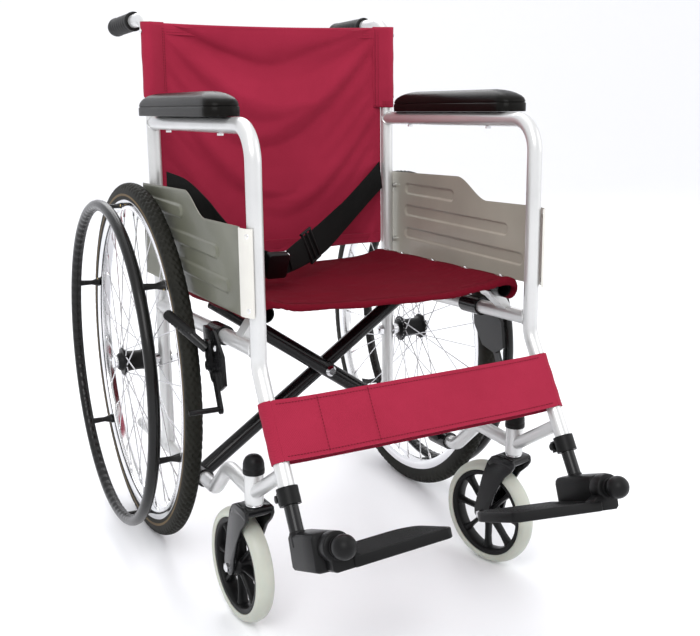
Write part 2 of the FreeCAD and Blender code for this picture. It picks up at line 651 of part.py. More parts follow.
def build_brake():
    """Brake on the side rail: clamp and plate, lever with its grip, and the shoe rod."""
    plate_x = side - tube_radius - 6.9
    shoe_x = plate_x - PLATE - LAYER
    lever_x = shoe_x - PLATE - LAYER
    lever = (number("lever_y"), number("lever_z"))
    shoe = (number("shoe_y"), number("shoe_z"))
    pin = number("brake_pin")

    clamp_at = Vector(side, -120, rail_height("side_rail_z", -120))
    ring = Part.makeCylinder(tube_radius + 3.5, 48, clamp_at, RAIL_ALONG)
    ring = ring.cut(Part.makeCylinder(tube_radius, 60, clamp_at - RAIL_ALONG * 5, RAIL_ALONG))
    corners = [(-72, 414), (-78, 374), (-104, 344), (-140, 338), (-163, 352), (-156, 392), (-120, 422)]
    wire = Part.makePolygon([Vector(plate_x, y, z) for y, z in corners + corners[:1]])
    plate = Part.Face(wire).extrude(Vector(PLATE, 0, 0))
    cheek = Part.makeBox(8, 46, 14, Vector(plate_x, -119, 406))
    rail_core = Part.makeCylinder(tube_radius, 300, clamp_at - RAIL_ALONG * 100, RAIL_ALONG)
    bolts = [Part.makeCylinder(4.5, 3, Vector(plate_x - 3, y, z), Vector(1, 0, 0))
             for y, z in ((-86, 398), (-134, 400))]
    pins = []
    for (y, z), reach in ((shoe, shoe_x), (lever, lever_x)):
        pins.append(Part.makeCylinder(pin, plate_x - reach + LAYER, Vector(reach - LAYER, y, z), Vector(1, 0, 0)))
        pins.append(Part.makeCylinder(pin + 2.5, 2.5, Vector(reach - LAYER - 2.5, y, z), Vector(1, 0, 0)))
    bracket = ring.fuse([plate, cheek]).cut(rail_core).fuse(bolts + pins)
    part_feature("right_brake_bracket", bracket)

    shoe_end = (-150, 315)
    arm = flat_link(shoe, shoe_end, 7.5, shoe_x)
    rod_start = Vector(shoe_x + PLATE, *shoe_end)
    shoe_rod = rod(rod_start, rod_start + Vector(-49, 0, 0), 4)
    shoe_bore = rod(Vector(shoe_x - 9, *shoe), Vector(shoe_x + 9, *shoe), pin + 0.05)
    part_feature("right_brake_shoe", arm.fuse(shoe_rod).cut(shoe_bore))

    lever_top = (-115, 400)
    blade = flat_link(lever, lever_top, 8.5, lever_x)
    grip_start = Vector(lever_x - 1, -116, 396)
    grip_end = Vector(-288, -78, 441)
    handle = rod(grip_start, grip_end, 6.8).fuse(Part.makeSphere(6.8, grip_end))
    lever_bore = rod(Vector(lever_x - 9, *lever), Vector(lever_x + 9, *lever), pin + 0.05)
    part_feature("right_brake_lever", blade.fuse(handle).cut(lever_bore))


# ---------------------------------------------------------------- footrest

def build_footrest():
    """Sliding tube, hinge block with its bumper ball, and the flip-up footplate."""
    end = arm_line[3]
    slide = number("slide_radius")
    outside = rod(end - LEG_DOWN * 100, end + LEG_DOWN * 66, slide)
    inside = rod(end - LEG_DOWN * 101, end + LEG_DOWN * 67, slide - 1.5)
    part_feature("right_footrest_tube", outside.cut(inside))

    tilt_turn = Rotation(Vector(1, 0, 0), -number("foot_tilt"))
    hinge = Placement(Vector(-number("foot_x"), number("foot_y"), number("foot_z")), tilt_turn)
    block = Part.makeBox(34.5, 84, 48, Vector(-20, 24, -30))
    block = block.makeFillet(6, [edge for edge in block.Edges if edge.BoundBox.YLength > 80])
    ball_radius, pin = number("foot_ball"), number("foot_pin")
    ball = Part.makeSphere(ball_radius, Vector(0, -ball_radius, 0))
    pivot = Part.makeCylinder(pin, 40, Vector(0, -8, 0), Vector(0, 1, 0))
    block = block.fuse([ball, pivot])
    block.Placement = hinge
    block = block.fuse(rod(end + LEG_DOWN * 42, end + LEG_DOWN * 60, slide + 3))
    block = block.cut(rod(end - LEG_DOWN * 100, end + LEG_DOWN * 66, slide))
    part_feature("right_footrest_block", block)

    lug = Part.makeCylinder(19, 21, Vector(0, 2, 0), Vector(0, 1, 0))
    web = Part.makeBox(42, 21, 25, Vector(-12, 2, -30))
    start, reach, deep = 16, 157, 117
    plate = Part.makeBox(reach - start, deep, 14, Vector(start, 0, -30))
    for radius, is_rear in ((10, False), (34, True)):
        corner = [edge for edge in plate.Edges if edge.BoundBox.ZLength > 10 and edge.Vertexes[0].X > reach - 20
                  and (edge.Vertexes[0].Y > deep / 2) == is_rear and edge.BoundBox.DiagonalLength < 15]
        plate = plate.makeFillet(radius, [edge for edge in corner if edge.Vertexes[0].Y in (0, deep)])
    hollow = Part.makeBox(reach - start - 8, deep - 29, 9, Vector(start + 4, 25, -31))
    hollow_edges = [edge for edge in hollow.Edges if edge.BoundBox.ZLength > 8 and edge.Vertexes[0].X > reach / 2]
    plate = plate.cut(hollow.makeFillet(10, hollow_edges))
    bore = Part.makeCylinder(pin + number("running_gap"), 60, Vector(0, -5, 0), Vector(0, 1, 0))
    footplate = plate.fuse([lug, web]).cut(bore)
    rise = Placement(Vector(), Rotation(Vector(0, 1, 0), -number("foot_rise")))
    footplate.Placement = hinge.multiply(rise)
    part_feature("right_footplate", footplate)


# ---------------------------------------------------------------- folding cross brace and seat

FOLD_TURN = Rotation(Vector(1, 0, 0), -number("rail_tilt"))
FOLD_FRAME = Placement(Vector(), FOLD_TURN)      # its Y axis runs along the rails
along_tilt = math.cos(math.radians(number("rail_tilt")))


def along_rail(y, z):
    """How far along the rails a point of the chair lies."""
    return FOLD_TURN.inverted().multVec(Vector(0, y, z)).y


lower_t = number("lower_rail_z") * along_tilt
rail_t = number("seat_rail_z") * along_tilt
bar_radius = number("bar_od") / 2
brace_slope = (rail_t - bar_radius - lower_t) / (number("side_x") + number("seat_rail_x"))
pivot_t = lower_t + number("side_x") * brace_slope


def cross_bar(direction, plane):
    """One bar of the X with its lower sleeve and its seat rail; direction is +1 or -1 across."""
    wall = number("bar_wall")
    low = Vector(-direction * number("side_x"), plane, lower_t)
    high = Vector(direction * number("seat_rail_x"), plane, rail_t - bar_radius)
    sleeve_bore = tube_radius + number("slide_gap")
    back = Vector(0, 1, 0)
    sleeve = Part.makeCylinder(sleeve_bore + 3.6, 52, low - back * 26, back)
    bore = Part.makeCylinder(sleeve_bore, 120, low - back * 60, back)
    rail_start = Vector(high.x, along_rail(-number("seat_rail_front"), number("seat_rail_z")), rail_t)
    rail_length = number("seat_rail_front + seat_rail_back")
    rail = Part.makeCylinder(bar_radius, rail_length, rail_start, back)
    rail_bore = Part.makeCylinder(bar_radius - wall, rail_length + 2, rail_start - back, back)
    bar = rod(low, high, bar_radius)
    bar_bore = rod(low + (high - low) * 0.045, high + (low - high) * 0.01, bar_radius - wall)
    pivot = Part.makeCylinder(number("foot_pin") + 0.05, 80, Vector(0, plane - 40, pivot_t), back)
    shape = sleeve.fuse([bar, rail]).cut(bar_bore).cut(bore).cut(rail_bore).cut(pivot)
    shape.Placement = FOLD_FRAME
    return shape


def build_brace():
    """The two cross bars and the bolt and washer where they cross."""
    pitch = number("bar_pitch")
    front = along_rail(number("brace_y"), pivot_t)
    part_feature("cross_bar_a", cross_bar(1, front + pitch))
    part_feature("cross_bar_b", cross_bar(-1, front))
    back = Vector(0, 1, 0)
    centre = Vector(0, front, pivot_t)
    shaft = Part.makeCylinder(number("foot_pin"), pitch + 2 * bar_radius + 14,
                              centre - back * (bar_radius + 4), back)
    head = Part.makeCone(5.5, 9, 5, centre - back * (bar_radius + 5.2), back)
    nut = Part.makeCylinder(8.5, 7, centre + back * (pitch + bar_radius + 0.2), back)
    washer = Part.makeCylinder(12, pitch - 2 * bar_radius - 0.4, centre + back * (bar_radius + 0.2), back)
    bolt = shaft.fuse([head, nut, washer])
    bolt.Placement = FOLD_FRAME
    part_feature("cross_pivot_bolt", bolt)


def build_seat():
    """The seat sling as two closed halves that meet at the middle, one on each seat rail."""
    length = 412
    front = along_rail(-226, number("seat_rail_z"))
    for name, sign in (("right", -1), ("left", 1)):
        section = [(206, 461.4), (206, 464.4), (0.5, 453), (0.5, 450)]
        points = [Vector(sign * x, front, t * along_tilt) for x, t in section + section[:1]]
        half = Part.Face(Part.makePolygon(points)).extrude(Vector(0, length, 0))
        half.Placement = FOLD_FRAME
        part_feature("seat_sling_" + name, half)


def slab(start, end, across, thickness):
    """A flat strip between two points, with its width along a given direction."""
    run = end - start
    normal = run.cross(across).normalize() * thickness
    low = start - across / 2 - normal / 2
    wire = Part.makePolygon([low, low + across, low + across + normal, low + normal, low])
    return Part.Face(wire).extrude(run)


def build_fabric():
    """Back sling, calf strap and seat belt as plain closed solids."""
    reach = number("side_x") - tube_radius - 0.6
    low, high = 470, 856
    bottom = Vector(0, back_post_y(low) + 4, low)
    top = Vector(0, back_post_y(high) + 4, high)
    part_feature("back_sling", slab(bottom, top, Vector(2 * reach, 0, 0), 5))
    middle = arm_line[3] - LEG_DOWN * 92
    middle.x = 0
    half = LEG_DOWN * (number("strap_width") / 2)
    part_feature("calf_strap", slab(middle - half, middle + half, Vector(2 * reach, 0, 0), 18))
    width = number("belt_width")
    strips = [(Vector(206, 192, 588), Vector(2, 66, 496), Vector(0, 0.2, 1)),
              (Vector(2, 66, 496), Vector(-108, -34, 493), Vector(0, 0, 1)),
              (Vector(-108, -34, 493), Vector(-188, -70, 530), Vector(0, 0, 1)),
              (Vector(-188, -70, 530), Vector(-205, 186, 590), Vector(0, 0, 1))]
    belt = None
    for start, end, across in strips:
        strip = slab(start, end, across.normalize() * width, 3)
        belt = strip if belt is None else belt.fuse(strip)
    part_feature("seat_belt", belt)


# ---------------------------------------------------------------- the whole chair

def mirror_right_side():
    """The left side frame, wheel, brake and footrest are mirror images of the right."""
    for label in [name for name in nodes if name.startswith("right_")]:
        mirrored = doc.addObject("Part::Mirroring", "m_" + label)
        mirrored.Source = nodes[label]
        mirrored.Normal = Vector(1, 0, 0)
        keep(label.replace("right_", "left_"), mirrored)


def check_and_export():
    """Refuse a failed or invalid object, then write each node as its own file."""
    doc.recompute()
    for thing in doc.Objects:
        if "Invalid" in thing.State or "Error" in thing.State:
            raise RuntimeError("failed object: " + thing.Label)
    os.makedirs("parts", exist_ok=True)
    for label, thing in nodes.items():
        shape = thing.Shape
        if shape.isNull() or not shape.isValid() or shape.Volume <= 0:
            raise RuntimeError("bad shape: " + label)
    for label, thing in nodes.items():
        thing.Shape.exportStep("parts/%s.step" % label)
    print(len(nodes), "nodes written")


build_side_tubes()
build_cap()
build_grip()
build_arm_pad()
build_panel()
build_screws()
build_axle()
build_clamp()
build_wheel()
build_brake()
build_footrest()
doc.recompute()
mirror_right_side()
build_caster("right", side, "right_steer")
build_caster("left", -side, "left_steer")
build_brace()
build_seat()
build_fabric()
check_and_export()
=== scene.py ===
import logging
import math
from dataclasses import dataclass, field
from enum import Enum
from typing import Callable, Iterable, Sequence

import bmesh
import bpy
from mathutils import Matrix, Vector, noise

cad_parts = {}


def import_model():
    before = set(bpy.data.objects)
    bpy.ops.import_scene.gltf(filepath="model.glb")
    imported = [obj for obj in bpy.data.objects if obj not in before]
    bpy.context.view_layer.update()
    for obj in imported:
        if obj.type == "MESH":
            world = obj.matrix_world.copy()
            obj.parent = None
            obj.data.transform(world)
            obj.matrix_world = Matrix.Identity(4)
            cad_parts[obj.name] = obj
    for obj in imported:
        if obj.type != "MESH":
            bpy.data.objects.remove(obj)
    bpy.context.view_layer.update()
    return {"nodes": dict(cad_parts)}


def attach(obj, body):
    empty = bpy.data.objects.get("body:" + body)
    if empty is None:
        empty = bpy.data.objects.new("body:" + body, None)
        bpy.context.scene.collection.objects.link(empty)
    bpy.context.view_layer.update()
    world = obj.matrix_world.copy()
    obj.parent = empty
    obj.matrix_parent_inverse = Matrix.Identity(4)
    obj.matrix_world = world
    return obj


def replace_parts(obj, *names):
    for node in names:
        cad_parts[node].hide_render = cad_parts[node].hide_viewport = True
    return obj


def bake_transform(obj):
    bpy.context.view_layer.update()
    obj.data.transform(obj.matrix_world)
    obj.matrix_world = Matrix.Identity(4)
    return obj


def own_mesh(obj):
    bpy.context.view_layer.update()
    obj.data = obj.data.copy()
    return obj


LOG = logging.getLogger("wheelchair")

Point = tuple[float, float, float]
Colour = tuple[float, float, float]


# ------------------------------------------------------------------ sizes of the chair, in mm

class Side(Enum):
    """A side of the chair, with the sign of its X."""

    RIGHT = -1
    LEFT = 1

    @property
    def word(self) -> str:
        """The side's name as the CAD nodes spell it."""
        return self.name.lower()


SIDE_X = 218.0
TUBE_R = 11.0
POST_LEAN = math.tan(math.radians(2))
RAIL_TILT = math.tan(math.radians(4))
ARM_TILT = math.tan(math.radians(2.3))
HANDLE_DROOP = math.tan(math.radians(3))
AXLE = Vector((0, 200, 300))
WHEEL_X, HANDRIM_X = 258.0, 312.0
CASTER_Y, CASTER_TRAIL, CASTER_Z = -224.0, 45.0, 85.0
LEG_TOP, LEG_END = Vector((0, -251.6, 400)), Vector((0, -350, 254))
LEG_DOWN = (LEG_END - LEG_TOP).normalized()
SEAT_RAIL_X = 193.0
FOOT = Vector((204, -467.2, 236))
FOOT_TILT, FOOT_RISE = math.radians(22), math.radians(4)

CAMERA_PLACE = (-0.68869, -1.47564, 0.78937)
CAMERA_TURN = (math.radians(-26.28), math.radians(13.78), math.radians(0.27))
CAMERA_SENSOR, CAMERA_LENS = 36, 52.9051


def back_post_y(z: float) -> float:
    """Where a back post's centre line is at a height."""
    return 200 + (z - 300) * POST_LEAN


def front_post_y(z: float) -> float:
    """Where a front post's centre line is at a height."""
    return -245 + (z - 590) * POST_LEAN


def seat_rail_z(y: float) -> float:
    """Height of the seat rails' centre line."""
    return 448 - y * RAIL_TILT


def arm_top_z(y: float) -> float:
    """Height of the arm tube's top."""
    return 697 + (back_post_y(697) - y) * ARM_TILT + TUBE_R


def eased(x: float) -> float:
    """A smooth step from 0 to 1 for x from 0 to 1."""
    x = min(max(x, 0.0), 1.0)
    return x * x * (3 - 2 * x)


# ------------------------------------------------------------------ material nodes

class NodeTree:
    """A short way to fill a node tree."""

    def __init__(self, tree: bpy.types.NodeTree) -> None:
        self.tree = tree

    def add(self, kind: str, **given) -> bpy.types.Node:
        """Adds a node.

        Args:
            kind: the node's type, without "ShaderNode".
            given: its properties, or its sockets' values or links, by name with "_" for a space.

        Returns:
            The new node.
        """
        known = {"GroupInput": "NodeGroupInput", "GroupOutput": "NodeGroupOutput"}
        node = self.tree.nodes.new(known.get(kind, "ShaderNode" + kind))
        for name, value in given.items():
            if hasattr(node, name) and name not in ("color", "inputs"):
                setattr(node, name, value)
                continue
            socket = self.socket(node, name)
            if isinstance(value, bpy.types.NodeSocket):
                self.tree.links.new(value, socket)
            else:
                socket.default_value = value
        return node

    @staticmethod
    def socket(node: bpy.types.Node, name: str) -> bpy.types.NodeSocket:
        """An input of a node by its name, or by "in0", "in1" and so on."""
        if name.startswith("in") and name[2:].isdigit():
            return node.inputs[int(name[2:])]
        return node.inputs[name.replace("_", " ")]

    def math(self, operation: str, *values) -> bpy.types.NodeSocket:
        """A Math node's result."""
        given = {f"in{i}": value for i, value in enumerate(values)}
        return self.add("Math", operation=operation, **given).outputs[0]

    def mix(self, share, first, second) -> bpy.types.NodeSocket:
        """Two colours mixed by a share."""
        node = self.add("Mix", data_type="RGBA")
        for index, value in ((0, share), (6, first), (7, second)):
            if isinstance(value, bpy.types.NodeSocket):
                self.tree.links.new(value, node.inputs[index])
            else:
                node.inputs[index].default_value = value if index == 0 else (*value, 1)[:4]
        return node.outputs[2]


def group(name: str, inputs: Sequence[tuple[str, str, object]], outputs: Sequence[tuple[str, str]],
          fill: Callable[[NodeTree, bpy.types.Node], Sequence[bpy.types.NodeSocket]]) -> bpy.types.NodeTree:
    """Makes a node group.

    Args:
        name: the group's name.
        inputs: each input's name, socket type and first value.
        outputs: each output's name and socket type.
        fill: adds the nodes and returns the sockets for the outputs.

    Returns:
        The group's tree.
    """
    tree = bpy.data.node_groups.new(name, "ShaderNodeTree")
    for label, kind, value in inputs:
        made = tree.interface.new_socket(label, in_out="INPUT", socket_type="NodeSocket" + kind)
        made.default_value = value
    for label, kind in outputs:
        tree.interface.new_socket(label, in_out="OUTPUT", socket_type="NodeSocket" + kind)
    nodes = NodeTree(tree)
    results = fill(nodes, nodes.add("GroupInput"))
    end = nodes.add("GroupOutput")
    for socket, result in zip(end.inputs, results):
        tree.links.new(result, socket)
    return tree


def fill_mottle(nodes: NodeTree, given: bpy.types.Node) -> Sequence[bpy.types.NodeSocket]:
    """Cloudy colour and roughness with a fine grain: paint, moulded plastic and rubber."""
    place = nodes.add("TexCoord").outputs["Object"]
    broad = nodes.add("TexNoise", Vector=place, Scale=11.0, Detail=4.0).outputs["Fac"]
    fine = nodes.add("TexNoise", Vector=place, Scale=given.outputs["Grain scale"], Detail=3.0).outputs["Fac"]
    share = nodes.math("MULTIPLY", nodes.math("SUBTRACT", broad, 0.35), 2.6)
    up = nodes.add("SeparateXYZ", Vector=nodes.add("NewGeometry").outputs["Normal"]).outputs[2]
    dust = nodes.math("MULTIPLY", nodes.math("MAXIMUM", up, 0.0),
                      nodes.math("MULTIPLY", fine, given.outputs["Dust"]))
    base = nodes.mix(nodes.add("Clamp", Value=share).outputs[0], given.outputs["Colour"],
                     given.outputs["Second"])
    colour = nodes.mix(dust, base, (0.55, 0.53, 0.5))
    rough = nodes.math("ADD", given.outputs["Roughness"],
                       nodes.math("MULTIPLY", nodes.math("SUBTRACT", fine, 0.5), given.outputs["Variation"]))
    bump = nodes.add("Bump", Height=fine, Strength=given.outputs["Bump"], Distance=0.0004)
    return colour, rough, bump.outputs[0]


def fill_weave(nodes: NodeTree, given: bpy.types.Node) -> Sequence[bpy.types.NodeSocket]:
    """Plain weave of two sets of threads, with uneven yarn, from the piece's own cloth coordinates; its
    colour is darker in the gaps between threads (painted shade) and clouded at random.
    """
    place = nodes.add("Attribute", attribute_name="cloth").outputs["Vector"]
    part = nodes.add("SeparateXYZ", Vector=place)
    turns = nodes.math("DIVIDE", 2 * math.pi, given.outputs["Pitch"])
    across = nodes.math("SINE", nodes.math("MULTIPLY", part.outputs[0], turns))
    along = nodes.math("SINE", nodes.math("MULTIPLY", part.outputs[1], turns))
    threads = nodes.math("MULTIPLY", across, along)
    yarn = nodes.add("TexNoise", Vector=place, Scale=420.0, Detail=2.0).outputs["Fac"]
    cloud = nodes.add("TexNoise", Vector=place, Scale=9.0, Detail=5.0, Roughness=0.6).outputs["Fac"]
    height = nodes.math("ADD", nodes.math("MULTIPLY", threads, 0.5), nodes.math("MULTIPLY", yarn, 0.5))
    # colour share: thread tops lighter and gaps between threads darker (painted shade), plus random cloudy
    # tone
    thread_shade_and_cloud = nodes.math("ADD", nodes.math("MULTIPLY", height, 0.35), nodes.math("MULTIPLY", cloud, 0.55))
    share = nodes.add("Clamp", Value=thread_shade_and_cloud).outputs[0]
    colour = nodes.mix(share, given.outputs["Dark"], given.outputs["Light"])
    bump = nodes.add("Bump", Height=height, Strength=given.outputs["Bump"], Distance=0.0005)
    rough = nodes.math("SUBTRACT", 0.86, nodes.math("MULTIPLY", height, 0.18))
    return colour, rough, bump.outputs[0]


class Surface(Enum):
    """The node group that gives a finish its detail."""

    MOTTLE = "mottle"
    WEAVE = "weave"


@dataclass(frozen=True)
class Finish:
    """One finish and the record slot it belongs to.

    Attributes:
        slot: the record's material slot.
        colour: main base colour, linear.
        second: colour of the darker or lighter clouds; in a weave, also the painted shade in the gaps between
            threads.
        roughness: mean roughness.
        metallic, coat, sheen, subsurface: the shader's own values, the same all over.
        grain: scale of the fine grain, per metre.
        bump: strength of the grain.
        variation: how much the roughness varies.
        dust: how much dust lies on faces that look up.
        surface: the kind of detail.
        pitch: thread spacing of a weave, in metres.
        specular: strength of the shine that isn't coloured.
    """

    slot: str
    colour: Colour
    second: Colour
    roughness: float = 0.4
    metallic: float = 0.0
    coat: float = 0.0
    sheen: float = 0.0
    subsurface: float = 0.0
    grain: float = 900.0
    bump: float = 0.1
    variation: float = 0.1
    dust: float = 0.0
    surface: Surface = Surface.MOTTLE
    pitch: float = 0.0022
    specular: float = 0.5

    def build(self, name: str, groups: dict[Surface, bpy.types.NodeTree]) -> bpy.types.Material:
        """Makes the Blender material.

        Args:
            name: the material's name.
            groups: the node group of each surface kind.

        Returns:
            The material.
        """
        material = bpy.data.materials.new(name)
        material.use_nodes = True
        nodes = NodeTree(material.node_tree)
        shader = material.node_tree.nodes["Principled BSDF"]
        detail = nodes.add("Group", node_tree=groups[self.surface])
        if self.surface is Surface.MOTTLE:
            settings = {"Colour": (*self.colour, 1), "Second": (*self.second, 1), "Roughness": self.roughness,
                        "Grain scale": self.grain, "Bump": self.bump, "Variation": self.variation,
                        "Dust": self.dust}
        else:
            settings = {"Light": (*self.colour, 1), "Dark": (*self.second, 1), "Pitch": self.pitch,
                        "Bump": self.bump}
        for label, value in settings.items():
            detail.inputs[label].default_value = value
        for output, socket in (("Colour", "Base Color"), ("Roughness", "Roughness"), ("Normal", "Normal")):
            material.node_tree.links.new(detail.outputs[output], shader.inputs[socket])
        shader.inputs["Metallic"].default_value = self.metallic
        shader.inputs["Specular IOR Level"].default_value = self.specular
        shader.inputs["Coat Weight"].default_value = self.coat
        shader.inputs["Coat Roughness"].default_value = 0.08
        shader.inputs["Sheen Weight"].default_value = self.sheen
        shader.inputs["Sheen Roughness"].default_value = 0.4
        shader.inputs["Subsurface Weight"].default_value = self.subsurface
        shader.inputs["Subsurface Scale"].default_value = 0.004
        return material


FINISHES: dict[str, Finish] = {
    "silver_paint": Finish("frame_paint", (0.66, 0.665, 0.66), (0.585, 0.59, 0.59), 0.3, metallic=0.55,
                           coat=0.25, grain=1500, bump=0.06, variation=0.12, dust=0.05),
    "black_paint": Finish("black_tube", (0.004, 0.004, 0.0045), (0.008, 0.008, 0.0085), 0.2, coat=0.18,
                          specular=0.2, grain=1100, bump=0.05, variation=0.14),
    "chrome": Finish("bright_steel", (0.78, 0.78, 0.79), (0.66, 0.67, 0.69), 0.14, metallic=1.0, grain=700,
                     bump=0.03, variation=0.12),
    "steel_wire": Finish("bright_steel", (0.62, 0.62, 0.63), (0.48, 0.48, 0.5), 0.26, metallic=1.0, grain=900,
                         bump=0.05, variation=0.15),
    "panel_paint": Finish("panel_grey", (0.40, 0.385, 0.325), (0.345, 0.33, 0.28), 0.4, metallic=0.1,
                          coat=0.1, grain=1700, bump=0.1, variation=0.12, dust=0.08),
    # darker copy of panel_paint for the panels' outer faces: painted shade where the rear wheel blocks the
    # light
    "panel_outside": Finish("panel_grey", (0.135, 0.138, 0.10), (0.105, 0.107, 0.08), 0.42, metallic=0.2,
                            coat=0.1, grain=1700, bump=0.1, variation=0.12, dust=0.08),
    "panel_edge": Finish("panel_grey", (0.70, 0.69, 0.64), (0.62, 0.61, 0.57), 0.4, metallic=0.1, grain=1700,
                         bump=0.08, variation=0.1),
    "black_plastic": Finish("black_plastic", (0.005, 0.005, 0.0052), (0.009, 0.009, 0.0095), 0.38,
                            specular=0.14, grain=1600, bump=0.2, variation=0.16),
    "pad_plastic": Finish("pad_plastic", (0.004, 0.0036, 0.0032), (0.007, 0.0065, 0.0058), 0.3, coat=0.03,
                          specular=0.06, grain=1300, bump=0.12, variation=0.12),
    "grip_rubber": Finish("grip_rubber", (0.007, 0.007, 0.0072), (0.012, 0.012, 0.012), 0.55, specular=0.15,
                          grain=1800, bump=0.3, variation=0.15),
    "tyre_rubber": Finish("tyre_rubber", (0.009, 0.009, 0.0065), (0.015, 0.0145, 0.011), 0.6, specular=0.15,
                          grain=1400, bump=0.3, variation=0.16, dust=0.012),
    "tyre_line": Finish("tyre_rubber", (0.16, 0.105, 0.04), (0.1, 0.065, 0.028), 0.6, specular=0.3,
                        grain=1300, bump=0.2, variation=0.12),
    "handrim_plastic": Finish("handrim_plastic", (0.005, 0.005, 0.005), (0.008, 0.008, 0.008), 0.26,
                              coat=0.12, specular=0.2, grain=1200, bump=0.1, variation=0.14),
    "caster_rubber": Finish("caster_tread", (0.50, 0.515, 0.45), (0.40, 0.415, 0.36), 0.38, subsurface=0.12,
                            grain=900, bump=0.12, variation=0.14, dust=0.05),
    "burgundy": Finish("fabric", (0.41, 0.026, 0.066), (0.23, 0.012, 0.031), sheen=0.04, specular=0.1,
                       bump=0.5, surface=Surface.WEAVE, pitch=0.0024),
    # darker copy of burgundy for the seat cloth and its hem: painted shade on the flat seat, which is the
    # same fabric as the back
    "burgundy_seat": Finish("fabric", (0.175, 0.0062, 0.018), (0.08, 0.0026, 0.0075), sheen=0.0,
                            specular=0.04, bump=0.55, surface=Surface.WEAVE, pitch=0.0024),
    "thread": Finish("fabric", (0.13, 0.006, 0.015), (0.07, 0.003, 0.008), 0.8, specular=0.15, grain=2500,
                     bump=0.3),
    "webbing": Finish("webbing", (0.009, 0.0086, 0.009), (0.003, 0.003, 0.003), sheen=0.01, specular=0.1,
                      bump=0.6, surface=Surface.WEAVE, pitch=0.003),
    "brass": Finish("bright_steel", (0.62, 0.47, 0.2), (0.5, 0.37, 0.16), 0.25, metallic=1.0, grain=700,
                    bump=0.04),
}


class Finishes:
    """Makes each finish once and hands it out by name."""

    def __init__(self) -> None:
        number, colour = "Float", "Color"
        grey = (0.5, 0.5, 0.5, 1)
        self.groups = {
            Surface.MOTTLE: group(
                "mottle", [("Colour", colour, grey), ("Second", colour, grey), ("Roughness", number, 0.4),
                           ("Grain scale", number, 900.0), ("Bump", number, 0.1), ("Variation", number, 0.1),
                           ("Dust", number, 0.0)],
                [("Colour", colour), ("Roughness", number), ("Normal", "Vector")], fill_mottle),
            Surface.WEAVE: group(
                "weave", [("Light", colour, grey), ("Dark", colour, grey), ("Pitch", number, 0.002),
                          ("Bump", number, 0.4)],
                [("Colour", colour), ("Roughness", number), ("Normal", "Vector")], fill_weave)}
        self.made: dict[str, bpy.types.Material] = {}

    def __getitem__(self, name: str) -> bpy.types.Material:
        if name not in self.made:
            self.made[name] = FINISHES[name].build(name, self.groups)
        return self.made[name]


# ------------------------------------------------------------------ meshes

